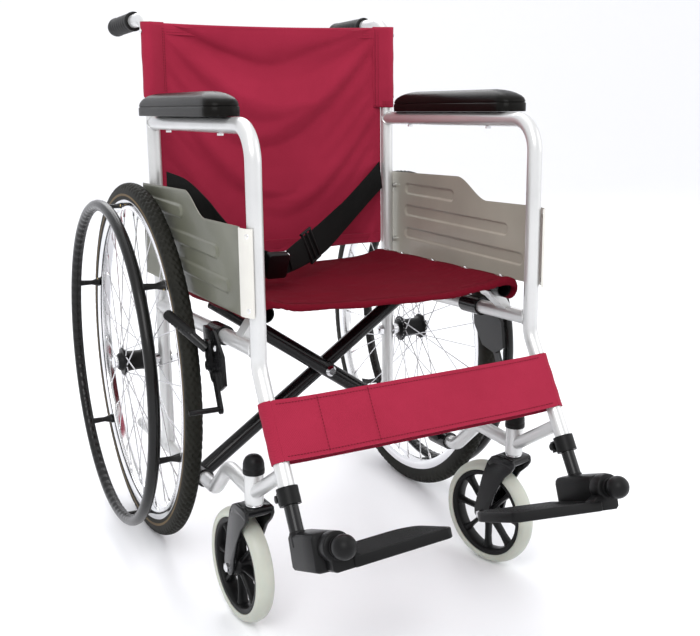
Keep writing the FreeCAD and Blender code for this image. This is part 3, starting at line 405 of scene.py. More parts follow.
class Shell:
    """Points and faces of one piece in millimetres, gathered from several surfaces."""

    def __init__(self) -> None:
        self.points: list[Vector] = []
        self.faces: list[tuple[int, ...]] = []
        self.slots: list[int] = []

    def grid(self, rows: Sequence[Sequence[Vector]], wrap_rows: bool = False, wrap_points: bool = True,
             caps: bool = False, slot: int = 0) -> "Shell":
        """Adds a surface through rows of points.

        Args:
            rows: equally long rows of points.
            wrap_rows: join the last row to the first.
            wrap_points: join each row's last point to its first.
            caps: close the first and last rows with a face.
            slot: material index.

        Returns:
            The shell itself.
        """
        start, wide, high = len(self.points), len(rows[0]), len(rows)
        for row in rows:
            self.points.extend(Vector(p) for p in row)
        for i in range(high if wrap_rows else high - 1):
            for j in range(wide if wrap_points else wide - 1):
                a, b = start + i * wide, start + ((i + 1) % high) * wide
                k = (j + 1) % wide
                self.faces.append((a + j, a + k, b + k, b + j))
                self.slots.append(slot)
        if caps:
            self.faces.append(tuple(start + j for j in reversed(range(wide))))
            self.faces.append(tuple(start + (high - 1) * wide + j for j in range(wide)))
            self.slots.extend((slot, slot))
        return self

    def lathe(self, profile: Sequence[tuple[float, float]], place: Matrix, steps: int = 64,
              closed: bool = False, slot: int = 0,
              shape: Callable[[float, int, float, float], tuple[float, float]] | None = None
              ) -> "Shell":
        """Turns a profile of (radius, height) about the local Z axis of a place.

        Args:
            profile: the profile's points.
            place: where the local frame is.
            steps: points round the circle.
            closed: whether the profile is a ring, or an open line capped at both ends.
            slot: material index.
            shape: gives a changed radius and height from the angle, index, radius and height.

        Returns:
            The shell itself.
        """
        rows = []
        for index, (radius, height) in enumerate(profile):
            row = []
            for step in range(steps):
                angle = 2 * math.pi * step / steps
                r, h = shape(angle, index, radius, height) if shape else (radius, height)
                row.append(place @ Vector((r * math.cos(angle), r * math.sin(angle), h)))
            rows.append(row)
        return self.grid(rows, wrap_rows=closed, caps=not closed, slot=slot)

    def tube(self, points: Sequence[Vector], radius: float | Sequence[float], steps: int = 20, slot: int = 0,
             closed: bool = False) -> "Shell":
        """Adds a round bar along points, with one radius or one for each point."""
        radii = [radius] * len(points) if isinstance(radius, (int, float)) else list(radius)
        count = len(points)
        rows = []
        normal = None
        for i, point in enumerate(points):
            ahead = points[(i + 1) % count] if closed or i + 1 < count else points[i]
            behind = points[i - 1] if closed or i else points[i]
            along = (ahead - behind).normalized()
            if normal is None:
                normal = along.orthogonal().normalized()
            normal = (normal - along * normal.dot(along)).normalized()
            side = along.cross(normal)
            rows.append([point + (normal * math.cos(a) + side * math.sin(a)) * radii[i]
                         for a in (2 * math.pi * s / steps for s in range(steps))])
        return self.grid(rows, wrap_rows=closed, caps=not closed, slot=slot)

    def screw(self, at: Vector, along: Vector, radius: float, height: float, slot: int = 0) -> "Shell":
        """Adds a domed screw head with a recess, standing on a surface."""
        place = Matrix.Translation(at) @ along.to_track_quat("Z", "Y").to_matrix().to_4x4()
        profile = [(radius, 0), (radius, height * 0.3), (radius * 0.86, height * 0.72),
                   (radius * 0.55, height), (radius * 0.42, height), (radius * 0.3, height * 0.55),
                   (0.05, height * 0.5)]
        return self.lathe(profile, place, steps=18, slot=slot)

    def sides(self, side: Side) -> "Shell":
        """The shell for a side, given that it was built for the right-hand one."""
        if side is Side.RIGHT:
            return self
        turned = Shell()
        turned.points = [Vector((-p.x, p.y, p.z)) for p in self.points]
        turned.faces = [tuple(reversed(face)) for face in self.faces]
        turned.slots = list(self.slots)
        return turned

    def build(self, name: str, materials: Sequence[bpy.types.Material], flat_angle: float = 35.0,
              bevel: float = 0.0, smooth: int = 0) -> bpy.types.Object:
        """Makes the object, in metres.

        Args:
            name: the piece's name.
            materials: one material for each slot.
            flat_angle: edges sharper than this stay sharp, in degrees.
            bevel: width of a bevel on sharp edges, in mm.
            smooth: levels of subdivision.

        Returns:
            The object.
        """
        mesh = bpy.data.meshes.new(name)
        mesh.from_pydata([p * 0.001 for p in self.points], [], self.faces)
        mesh.polygons.foreach_set("material_index", self.slots)
        work = bmesh.new()
        work.from_mesh(mesh)
        bmesh.ops.remove_doubles(work, verts=work.verts, dist=1e-6)
        bmesh.ops.recalc_face_normals(work, faces=work.faces)
        work.to_mesh(mesh)
        work.free()
        made = bpy.data.objects.new(name, mesh)
        bpy.context.scene.collection.objects.link(made)
        for material in materials:
            mesh.materials.append(material)
        if bevel:
            modifier = made.modifiers.new("bevel", "BEVEL")
            modifier.width, modifier.segments, modifier.limit_method = bevel * 0.001, 2, "ANGLE"
            modifier.angle_limit = math.radians(40)
        if smooth:
            modifier = made.modifiers.new("smooth", "SUBSURF")
            modifier.levels = modifier.render_levels = smooth
        apply_modifiers(made)
        mesh = made.data
        mesh.shade_smooth()
        mesh.set_sharp_from_angle(angle=math.radians(flat_angle))
        return made


def apply_modifiers(made: bpy.types.Object) -> None:
    """Bakes an object's modifiers into its mesh."""
    if not made.modifiers:
        return
    graph = bpy.context.evaluated_depsgraph_get()
    mesh = bpy.data.meshes.new_from_object(made.evaluated_get(graph))
    made.modifiers.clear()
    made.data = mesh


def flowing(points: Sequence[Vector], per_span: int = 8) -> list[Vector]:
    """Points along a smooth curve through the given ones."""
    full = [points[0] * 2 - points[1], *points, points[-1] * 2 - points[-2]]
    made = []
    for a, b, c, d in zip(full, full[1:], full[2:], full[3:]):
        for step in range(per_span):
            t = step / per_span
            made.append(0.5 * ((2 * b) + (c - a) * t + (2 * a - 5 * b + 4 * c - d) * t * t
                               + (3 * b - 3 * c + d - a) * t ** 3))
    made.append(Vector(points[-1]))
    return made


def rounded_box(low: Point, high: Point, radius: float, corner_steps: int = 5) -> list[list[Vector]]:
    """Rows of a box whose upright edges are rounded, for Shell.grid with caps."""
    corners = [(high[0] - radius, high[1] - radius, 0), (low[0] + radius, high[1] - radius, 90),
               (low[0] + radius, low[1] + radius, 180), (high[0] - radius, low[1] + radius, 270)]
    ring = []
    for x, y, start in corners:
        for step in range(corner_steps + 1):
            angle = math.radians(start + 90 * step / corner_steps)
            ring.append((x + radius * math.cos(angle), y + radius * math.sin(angle)))
    return [[Vector((x, y, z)) for x, y in ring] for z in (low[2], high[2])]


ALONG_X = Matrix.Rotation(math.radians(90), 4, "Y")


def at(point: Vector | Point, turn: Matrix = Matrix.Identity(4)) -> Matrix:
    """A place: a point and a turn."""
    return Matrix.Translation(Vector(point)) @ turn


@dataclass
class Kit:
    """What every sub-assembly needs: the finishes, and one way to finish a piece."""

    finishes: Finishes
    made: list[bpy.types.Object] = field(default_factory=list)

    def add(self, shell: Shell, name: str, finishes: Sequence[str], body: str, nodes: Iterable[str] = (),
            **options) -> bpy.types.Object:
        """Builds a piece, puts it on a body and lets it stand for CAD nodes.

        Args:
            shell: the piece's surfaces.
            name: its name.
            finishes: the finish of each material index.
            body: the CAD body that it moves with; empty for a piece that is bound later.
            nodes: the CAD nodes that it stands for.
            options: passed to Shell.build.

        Returns:
            The piece.
        """
        made = shell.build(name, [self.finishes[f] for f in finishes], **options)
        FINISHES[finishes[0]].slot
        if body:
            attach(made, body)
        if nodes:
            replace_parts(made, *nodes)
        self.made.append(made)
        return made


# ------------------------------------------------------------------ rear wheels

@dataclass
class RearWheel:
    """Tyre, rim, spokes, hub and handrim of one side."""

    kit: Kit
    side: Side
    spokes: int = 36
    tread_blocks: int = 132

    def build(self) -> None:
        """Builds the wheel's pieces on the wheel's body."""
        word = self.side.word
        body = f"{word}_wheel"
        for name, make, finishes, nodes, options in (
                ("tyre_tread", self.tyre, ("tyre_rubber", "tyre_line"), ["tyre"], {"flat_angle": 50}),
                ("rim_profile", self.rim, ("chrome",), ["rim"], {}),
                ("wire_spokes", self.wires, ("steel_wire", "chrome"), ["spokes"], {}),
                ("wheel_hub", self.hub, ("black_plastic", "chrome"), ["hub"], {}),
                ("push_ring", self.handrim, ("handrim_plastic", "brass"), ["handrim"], {})):
            self.kit.add(make().sides(self.side), f"{word}_{name}", finishes, body,
                         [f"{word}_{node}" for node in nodes], **options)

    def place(self, x: float) -> Matrix:
        """A frame on the axle whose Z axis points away from the chair."""
        return at((-x, AXLE.y, AXLE.z), Matrix.Rotation(math.radians(-90), 4, "Y"))

    def tyre(self) -> Shell:
        """Tyre with rows of tread blocks and a thin line on its wall."""
        half = 13.0
        profile = [(270, -10.5), (273, -11.6), (279, -12.9), (284, -half), (288.5, -12.6), (291.5, -11.6),
                   (294, -10.2), (296, -8.4), (297.3, -6.2), (298, -4.2), (298.4, -2.1), (298.5, 0)]
        profile += [(r, -h) for r, h in reversed(profile[:-1])]

        def tread(angle: float, index: int, radius: float, height: float) -> tuple[float, float]:
            """Raises staggered blocks on the crown."""
            if not 4 <= index <= len(profile) - 5:
                return radius, height
            shift = 0.5 if (index // 2) % 2 else 0.0
            turn = (angle / (2 * math.pi) * self.tread_blocks + shift) % 1.0
            raised = 1.4 if turn < 0.6 else -0.9
            return radius + raised * (0.6 if index in (4, len(profile) - 5) else 1.0), height

        shell = Shell().lathe(profile, self.place(WHEEL_X), steps=self.tread_blocks * 5, closed=True,
                              shape=tread)
        line = [(278.2, half - 0.3), (279.4, half + 0.15), (281.8, half + 0.1), (283, half - 0.3)]
        return shell.lathe(line, self.place(WHEEL_X), steps=160, closed=True, slot=1)

    def rim(self) -> Shell:
        """Box-section rim with rolled edges."""
        profile = [(255, -4), (256, -8), (260, -11), (266, -11.6), (271.5, -11.8), (272.6, -11), (272, -10),
                   (268, -9), (268, 9), (272, 10), (272.6, 11), (271.5, 11.8), (266, 11.6), (260, 11),
                   (256, 8), (255, 4)]
        return Shell().lathe(profile, self.place(WHEEL_X), steps=160, closed=True)

    def wires(self) -> Shell:
        """Crossed spokes, each with its elbow at the flange and a nipple at the rim."""
        shell = Shell()
        flanges = (246.0, 290.5)
        for index in range(self.spokes):
            angle = 2 * math.pi * (index + 0.5) / self.spokes
            skew = math.radians(62 if index % 4 < 2 else -62)
            inner = index % 2
            start = Vector((-flanges[inner], 19 * math.cos(angle + skew), 19 * math.sin(angle + skew)))
            end = Vector((-WHEEL_X + (1.5, -1.5)[inner], 257 * math.cos(angle), 257 * math.sin(angle)))
            start, end = start + AXLE, end + AXLE
            outward = Vector((-2.2 if inner else 2.2, 0, 0))
            bend = start + (end - start).normalized() * 4
            shell.tube([start - outward * 0.6, start + outward * 0.6, bend + outward * 0.3,
                        bend + (end - bend) * 0.02, end], 1.0, steps=7, slot=0)
            shell.tube([end + (start - end).normalized() * 13, end + (start - end).normalized() * 12.5,
                        end + (start - end).normalized() * 2, end], [1.3, 1.9, 1.9, 2.6], steps=8, slot=1)
        return shell

    def hub(self) -> Shell:
        """Black hub with two drilled flanges, and its bright end caps."""
        place = self.place(0)
        profile = [(6.2, 240.4), (12, 240.4), (14, 241.6), (16, 244), (22.4, 244.6), (23.4, 245.6),
                   (23.4, 247.4), (22.4, 248.2), (18.6, 250), (17.4, 254), (16.6, 262), (16.6, 272),
                   (17.4, 281), (18.6, 285.5),
                   (22.4, 288), (23.4, 289), (23.4, 291.4), (22.4, 292.4), (16, 293), (14.6, 297), (12, 300),
                   (6.2, 300)]
        shell = Shell().lathe(profile, place, steps=48, closed=True)
        shell.lathe([(5, 300.2), (9.6, 300.2), (9.6, 304), (8, 306.4), (5, 306.6)], place, steps=48,
                    closed=True, slot=1)
        return shell

    def handrim(self) -> Shell:
        """Push ring with finger waves on its inner side, and six tabs screwed to the rim."""
        waves = 96
        profile = [(265 + 9.4 * math.cos(a), HANDRIM_X + 9.4 * math.sin(a))
                   for a in (2 * math.pi * k / 14 for k in range(14))]

        def waved(angle: float, index: int, radius: float, height: float) -> tuple[float, float]:
            """Presses finger waves into the ring's inner half."""
            inner = max(0.0, (265 - radius) / 9.4)
            return radius + inner * 1.7 * (0.5 + 0.5 * math.cos(angle * waves)), height

        shell = Shell().lathe(profile, self.place(0), steps=waves * 5, closed=True, shape=waved)
        for index in range(6):
            angle = math.radians(60 * index + 20)
            out = Vector((0, math.cos(angle), math.sin(angle)))
            round_ = Vector((0, -out.z, out.y))
            foot = AXLE + out * 262.5 + Vector((-270.1, 0, 0))
            knee = AXLE + out * 262 + Vector((-284, 0, 0))
            end = AXLE + out * 263 + Vector((-306, 0, 0))
            rows = []
            for point, wide, thick in ((foot, 9, 5), (foot + Vector((-3, 0, 0)), 8, 4.4), (knee, 4.6, 3.6),
                                       (end, 5.6, 5)):
                rows.append([point + round_ * wide * math.cos(a) + out * thick * math.sin(a)
                             for a in (2 * math.pi * k / 16 for k in range(16))])
            shell.grid(rows, caps=True)
            shell.screw(foot + Vector((-2.6, 0, 0)) + round_ * 6.2, Vector((-1, 0, 0)), 2.2, 1.4, slot=1)
        return shell


# ------------------------------------------------------------------ casters

@dataclass
class Caster:
    """Fork, spoked wheel and solid tyre of one swivelling caster."""

    kit: Kit
    side: Side
    steer: float
    arms: int = 8

    def build(self) -> None:
        """Builds the caster on its swivel and wheel bodies."""
        word = self.side.word
        swivel, wheel = f"{word}_swivel", f"{word}_caster"
        self.kit.add(self.placed(self.fork()), f"{word}_caster_fork", ("black_paint", "chrome"), swivel,
                     [f"{word}_fork"], bevel=0.8)
        self.kit.add(self.placed(self.axle()), f"{word}_caster_bolt", ("chrome",), swivel,
                     [f"{word}_caster_axle"])
        self.kit.add(self.placed(self.wheel()), f"{word}_caster_spider", ("black_plastic", "chrome"), wheel,
                     [f"{word}_caster_wheel"], bevel=0.7)
        self.kit.add(self.placed(self.tyre()), f"{word}_caster_tread", ("caster_rubber",), wheel,
                     [f"{word}_caster_tyre"])

    def placed(self, shell: Shell) -> Shell:
        """Moves a shell built on the swivel axis to its place and steering angle."""
        place = at((self.side.value * SIDE_X, CASTER_Y, 0), Matrix.Rotation(math.radians(self.steer), 4, "Z"))
        shell.points = [place @ point for point in shell.points]
        return shell

    def spin_place(self) -> Matrix:
        """The wheel's own frame, Z along its axle."""
        return at((0, CASTER_TRAIL, CASTER_Z), ALONG_X)

    def fork(self) -> Shell:
        """Fork with a rounded crown and two tapering legs."""
        outline = [(-14, 194.6), (0, 195.2), (17, 195.2), (27, 190), (35, 179), (45, 152), (54, 116),
                   (59.6, 92), (58.6, 82), (53, 74.8), (45, 72.4), (37, 75), (31.6, 83), (27, 104), (16, 134),
                   (1, 160), (-13, 174), (-18.4, 183), (-18, 190)]
        shell = Shell()
        for sign in (-1, 1):
            rows = []
            for x, inset in ((16.2, 0.0), (20.4, 0.0), (21.8, 1.3)):
                rows.append([Vector((sign * (x + 0.8 * eased((z - 150) / 40)), y + inset * (30 - y) / 40,
                                     z + inset * (130 - z) / 70)) for y, z in outline])
            shell.grid(rows, caps=True)
        crown = [(-18, 186), (-16, 194.4), (-6, 195.2), (17, 195.2), (26, 190.4), (33, 180), (30, 176),
                 (22, 181.5), (0, 185), (-14, 182)]
        shell.grid([[Vector((x, y, z - 1.6 * (abs(x) > 20))) for y, z in crown]
                    for x in (-22.6, -19, -10, 10, 19, 22.6)], caps=True)
        shell.lathe([(6, 194), (6, 252), (0.1, 252)], Matrix.Identity(4), steps=24, slot=1)
        shell.lathe([(12.4, 194.8), (12.8, 195.8), (11.4, 197.4), (5, 197.6)], Matrix.Identity(4), steps=40,
                    slot=1)
        return shell

    def axle(self) -> Shell:
        """Axle bolt with a hexagon head and a nut."""
        shell = Shell().lathe([(4, -22), (4, 22)], self.spin_place(), steps=24)
        for low, high in ((-26, -21.7), (21.7, 26)):
            shell.lathe([(7, low), (7, high)], self.spin_place(), steps=6)
            rim = (5.6, high + 0.01) if high > 0 else (5.6, low - 0.01)
            shell.lathe([rim, (rim[0] - 1, rim[1] + math.copysign(1.2, rim[1]))], self.spin_place(), steps=24)
        return shell

    def wheel(self) -> Shell:
        """Spoked wheel: hub, ring and tapering arms."""
        place = self.spin_place()
        ring = [(62, -8), (64, -11.4), (70.4, -12), (71, -11), (71, 11), (70.4, 12), (64, 11.4), (62, 8),
                (61.4, 0)]
        shell = Shell().lathe(ring, place, steps=80, closed=True)
        hub = [(4.3, -15.7), (10, -15.7), (11, -14.6), (14.4, -10), (15.4, -6), (15.4, 6), (14.4, 10),
               (11, 14.6), (10, 15.7), (4.3, 15.7)]
        shell.lathe(hub, place, steps=40, closed=True)
        for index in range(self.arms):
            turn = place @ Matrix.Rotation(2 * math.pi * index / self.arms, 4, "Z")
            rows = []
            for reach, wide, thick in ((13, 4.2, 8.4), (24, 3.2, 7.4), (46, 3.2, 6.8), (58, 4.4, 7.6),
                                       (63, 7, 8.4)):
                rows.append([turn @ Vector((reach, wide * u, thick * v))
                             for u, v in ((-1, -0.55), (-0.55, -1), (0.55, -1), (1, -0.55), (1, 0.55),
                                          (0.55, 1), (-0.55, 1), (-1, 0.55))])
            shell.grid(rows, caps=True)
        return shell

    def tyre(self) -> Shell:
        """Solid tyre with a soft shoulder."""
        profile = [(71.2, -12.2), (72.4, -13.4), (75, -13.9), (77.6, -13.5), (80.4, -12.0), (82.8, -9.0),
                   (84.3, -5), (84.9, -1.6), (85, 0)]
        profile += [(r, -h) for r, h in reversed(profile[:-1])]
        return Shell().lathe(profile, self.spin_place(), steps=96, closed=True)


# ------------------------------------------------------------------ fabric

class Cloth:
    """Sheets of fabric: grids with cloth coordinates, thickness, stitching and simulation."""

    def __init__(self, kit: Kit) -> None:
        self.kit = kit

    @staticmethod
    def coordinates(made: bpy.types.Object, pick: Callable[[Vector], tuple[float, float]]) -> None:
        """Writes each point's place in the flat cloth, which the weave follows.

        Args:
            made: the piece.
            pick: gives the flat place, in metres, from the point in metres.
        """
        attribute = made.data.attributes.new("cloth", "FLOAT_VECTOR", "POINT")
        for vertex, entry in zip(made.data.vertices, attribute.data):
            u, v = pick(vertex.co)
            entry.vector = (u, v, 0)

    @staticmethod
    def thicken(made: bpy.types.Object, thickness: float) -> None:
        """Gives a sheet its thickness, in mm."""
        modifier = made.modifiers.new("thickness", "SOLIDIFY")
        modifier.thickness, modifier.offset = thickness * 0.001, 0
        apply_modifiers(made)
        made.data.shade_smooth()
        made.data.set_sharp_from_angle(angle=math.radians(60))

    @staticmethod
    def settle(made: bpy.types.Object, held: Callable[[Vector], bool], gravity: float, tension: float,
               cap: float, frames: int = 20) -> None:
        """Simulates a sheet held at some points, and applies the result.

        Args:
            made: the sheet, in metres.
            held: whether a point is pinned.
            gravity: the share of gravity that acts.
            tension: stiffness of the cloth in its plane.
            cap: the furthest that a point may move, in metres.
            frames: how many frames to step.
        """
        rest = [vertex.co.copy() for vertex in made.data.vertices]
        pins = made.vertex_groups.new(name="held")
        pins.add([v.index for v in made.data.vertices if held(v.co)], 1.0, "REPLACE")
        modifier = made.modifiers.new("cloth", "CLOTH")
        settings = modifier.settings
        settings.quality = 6
        settings.mass = 0.25
        settings.tension_stiffness = settings.compression_stiffness = tension
        settings.shear_stiffness = tension * 0.5
        settings.bending_stiffness = 0.6
        settings.vertex_group_mass = "held"
        settings.effector_weights.gravity = gravity
        settings.shrink_min = -0.012
        modifier.point_cache.frame_start, modifier.point_cache.frame_end = 1, frames
        scene = bpy.context.scene
        for frame_number in range(1, frames + 1):
            scene.frame_set(frame_number)
        graph = bpy.context.evaluated_depsgraph_get()
        moved = bpy.data.meshes.new_from_object(made.evaluated_get(graph))
        goal = [vertex.co.copy() for vertex in moved.vertices]
        made.modifiers.clear()
        made.vertex_groups.clear()
        for vertex, before, after in zip(made.data.vertices, rest, goal):
            step = after - before
            vertex.co = before + (step if step.length < cap else step.normalized() * cap)
        scene.frame_set(1)
        bpy.data.meshes.remove(moved)

    def stitches(self, lines: Sequence[Sequence[Vector]], name: str, body: str, length: float = 3.2,
                 gap: float = 1.3, radius: float = 0.5) -> bpy.types.Object:
        """Lays a row of thread stitches along each line.

        Args:
            lines: smooth lines of points on the cloth, in mm.
            name: the piece's name.
            body: the body that it moves with, or empty.
            length, gap, radius: sizes of one stitch.

        Returns:
            The piece.
        """
        shell = Shell()
        for line in lines:
            marks = [0.0]
            for a, b in zip(line, line[1:]):
                marks.append(marks[-1] + (b - a).length)
            place, span = 0.0, marks[-1]
            index = 0
            while place + length < span:
                ends = []
                for want in (place, place + length):
                    while index + 2 < len(marks) and marks[index + 1] < want:
                        index += 1
                    share = (want - marks[index]) / max(marks[index + 1] - marks[index], 1e-6)
                    ends.append(line[index].lerp(line[index + 1], min(share, 1.0)))
                shell.tube([ends[0], ends[0].lerp(ends[1], 0.5), ends[1]],
                           [radius * 0.5, radius, radius * 0.5], 5)
                place += length + gap
                index = max(0, index - 1)
        return self.kit.add(shell, name, ("thread",), body)


def wrinkle(u: float, v: float, scale: float, seed: float) -> float:
    """Soft uneven folds, from -1 to 1."""
    return noise.noise(Vector((u * scale, v * scale, seed))) * 1.4


@dataclass
class Seat:
    """Seat sling: one sheet over both seat rails, split into two halves down the middle."""

    kit: Kit
    cloth: Cloth
    front: float = -224.0
    rear: float = 186.0
    screws: tuple[float, ...] = (-196.0, -96.0, 7.0, 114.0, 172.0)
    settled: dict[tuple[int, int], Vector] = field(default_factory=dict)

    def height(self, x: float, y: float) -> float:
        """Height of the cloth's middle surface before it settles."""
        across = min(abs(x) / SEAT_RAIL_X, 1.0)
        return seat_rail_z(y) + 14.6 + self.lift(y) - 10.5 * (1 - across ** 2.6)

    @staticmethod
    def lift(y: float) -> float:
        """How far the cloth rides above the seat rail."""
        return 3.2 + 0.0195 * (y + 224)

    def build(self) -> None:
        """Settles the sheet, splits it and adds each half's hem, stitching and screws."""
        sheet = self.sheet()
        Cloth.settle(sheet, self.held, gravity=0.3, tension=24.0, cap=0.005)
        # one point for each square millimetre seen from above
        self.settled = {(round(vertex.co.x * 1000), round(vertex.co.y * 1000)): vertex.co * 1000
                        for vertex in sheet.data.vertices}
        for side in Side:
            half = self.half(sheet, side)
            word, other = side.word, "left" if side is Side.RIGHT else "right"
            bar = "front_bar" if side is Side.RIGHT else "rear_bar"
            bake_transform(half)
            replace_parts(half, f"seat_sling_{word}")
            self.trim(side, bar, word)
        bpy.data.objects.remove(sheet)

    def held(self, co: Vector) -> bool:
        """Points on and beyond the rails."""
        x, y = abs(co.x) * 1000, co.y * 1000
        return x > SEAT_RAIL_X - 9

    def flare(self, y: float) -> float:
        """How far the outer edge stands off its rail; the screws pull it in."""
        near = min(abs(y - screw) for screw in self.screws)
        return 1.2 + 4.6 * (1 - math.exp(-(near / 24) ** 2))

    def sheet(self) -> bpy.types.Object:
        """The flat-cut sheet laid over the rails with its edges turned down outside them."""
        xs = [-188 + 376 * i / 64 for i in range(65)]
        rows = []
        steps = 66
        for j in range(steps + 1):
            y = self.front + (self.rear - self.front) * j / steps
            row = []
            rail = seat_rail_z(y)
            for side in (-1, 1):
                wrap = []
                for k in range(6):
                    angle = math.radians(-70 + (100 + 70) * k / 5)
                    reach = 13.9 + self.flare(y) * eased(1.15 * math.cos(angle))
                    rise = self.lift(y) * eased(0.4 + 0.8 * math.sin(angle))
                    wrap.append(Vector((side * (SEAT_RAIL_X + reach * math.cos(angle)), y,
                                        rail + reach * math.sin(angle) + rise)))
                if side == -1:
                    row.extend(wrap)
                    for x in xs:
                        near = max(0.0, (abs(x) - 120) / 70)
                        pucker = (1.3 * near * math.sin(y / 8.3 + 2.2 * math.sin(y / 41))
                                  * (1 - abs(abs(x) / 188) ** 8))
                        fold = 1.6 * wrinkle(x, y, 0.012, 3.1) + 0.7 * wrinkle(x, y, 0.05, 8.2)
                        level = 1 - (abs(x) / 188) ** 6
                        row.append(Vector((x, y, self.height(x, y) + fold * level + pucker * 0.5)))
                else:
                    row.extend(reversed(wrap))
            rows.append(row)
        shell = Shell().grid(rows, wrap_points=False)
        # the seat cloth takes the darker copy of the fabric: painted shade
        made = shell.build("seat_whole", [self.kit.finishes["burgundy_seat"]], flat_angle=70)
        return made

    def half(self, sheet: bpy.types.Object, side: Side) -> bpy.types.Object:
        """One half of the settled sheet, refined and thickened."""
        made = sheet.copy()
        made.data = sheet.data.copy()
        made.name = made.data.name = f"{side.word}_seat_cloth"
        bpy.context.scene.collection.objects.link(made)
        work = bmesh.new()
        work.from_mesh(made.data)
        gone = [f for f in work.faces if f.calc_center_median().x * side.value < 0]
        bmesh.ops.delete(work, geom=gone, context="FACES")
        work.to_mesh(made.data)
        work.free()
        modifier = made.modifiers.new("fine", "SUBSURF")
        modifier.levels = modifier.render_levels = 1
        modifier.subdivision_type = "CATMULL_CLARK"
        apply_modifiers(made)
        work = bmesh.new()
        work.from_mesh(made.data)
        for vertex in work.verts:
            if abs(vertex.co.x) < 0.0005:
                vertex.co.x = 0.0
        work.to_mesh(made.data)
        work.free()
        self.cloth.coordinates(made, lambda co: (co.x, co.y))
        self.cloth.thicken(made, 1.8)
        return made

    def top(self, x: float, y: float) -> Vector:
        """The settled cloth's surface near a point."""
        best = min(self.settled.values(), key=lambda p: (p.x - x) ** 2 + (p.y - y) ** 2 - p.z * 0.02)
        return Vector((x, y, best.z))

    def trim(self, side: Side, bar: str, word: str) -> None:
        """Front hem, stitching and the edge screws of one half."""
        sign = side.value
        xs = [sign * (1 + 182 * i / 40) for i in range(41)]
        hem_rows = []
        outer = [sign * (0.1 + 209.4 * i / 54) for i in range(55)]
        for x in outer:
            corner = eased((abs(x) - 172) / 30)
            top = self.top(x, self.front + 2) if abs(x) < 186 else Vector(
                (x, 0, seat_rail_z(self.front) + math.sqrt(max(17.6 ** 2 - (abs(x) - SEAT_RAIL_X) ** 2, 9.0))
                 + 0.5))
            drop = 6.5 + 5.0 * corner + 0.8 * math.sin(x / 13)
            hem_rows.append([Vector((x, self.front + dy, top.z + dz)) for dy, dz in
                             ((6, 1.1), (-1.0, 0.9), (-2.6, -1.6), (-2.6, -drop + 2), (-1.2, -drop),
                              (0.6, -drop + 1), (0.4, -3), (6, -1.4))])
        # the hem also takes the darker copy of the fabric: painted shade
        hem = self.kit.add(Shell().grid(hem_rows, caps=True), f"{word}_seat_hem", ("burgundy_seat",), "",
                           flat_angle=70)
        self.cloth.coordinates(hem, lambda co: (co.x, co.y - co.z))
        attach(hem, f"seat_{word}")
        lines = [[self.top(x, self.front + depth) + Vector((0, 0, 1.15)) for x in xs] for depth in (13, 19)]
        lines += [[self.top(x, self.rear - depth) + Vector((0, 0, 1.15)) for x in xs] for depth in (10, 15)]
        ys = [self.front + 8 + 400 * i / 60 for i in range(59)]
        self.cloth.stitches(lines, f"{word}_seat_stitches", f"seat_{word}")
        edge = [Vector((sign * (SEAT_RAIL_X + 2), y, seat_rail_z(y) + 15.6 + self.lift(y))) for y in ys]
        self.cloth.stitches([edge], f"{word}_seat_edge_stitches", bar)
        screws = Shell()
        for y in self.screws:
            screws.screw(Vector((sign * (SEAT_RAIL_X + 6.5), y, seat_rail_z(y) + 13.6 + self.lift(y))),
                         Vector((sign * 0.45, 0, 0.89)), 4.6, 2.2)
        self.kit.add(screws, f"{word}_seat_screws", ("chrome",), bar)


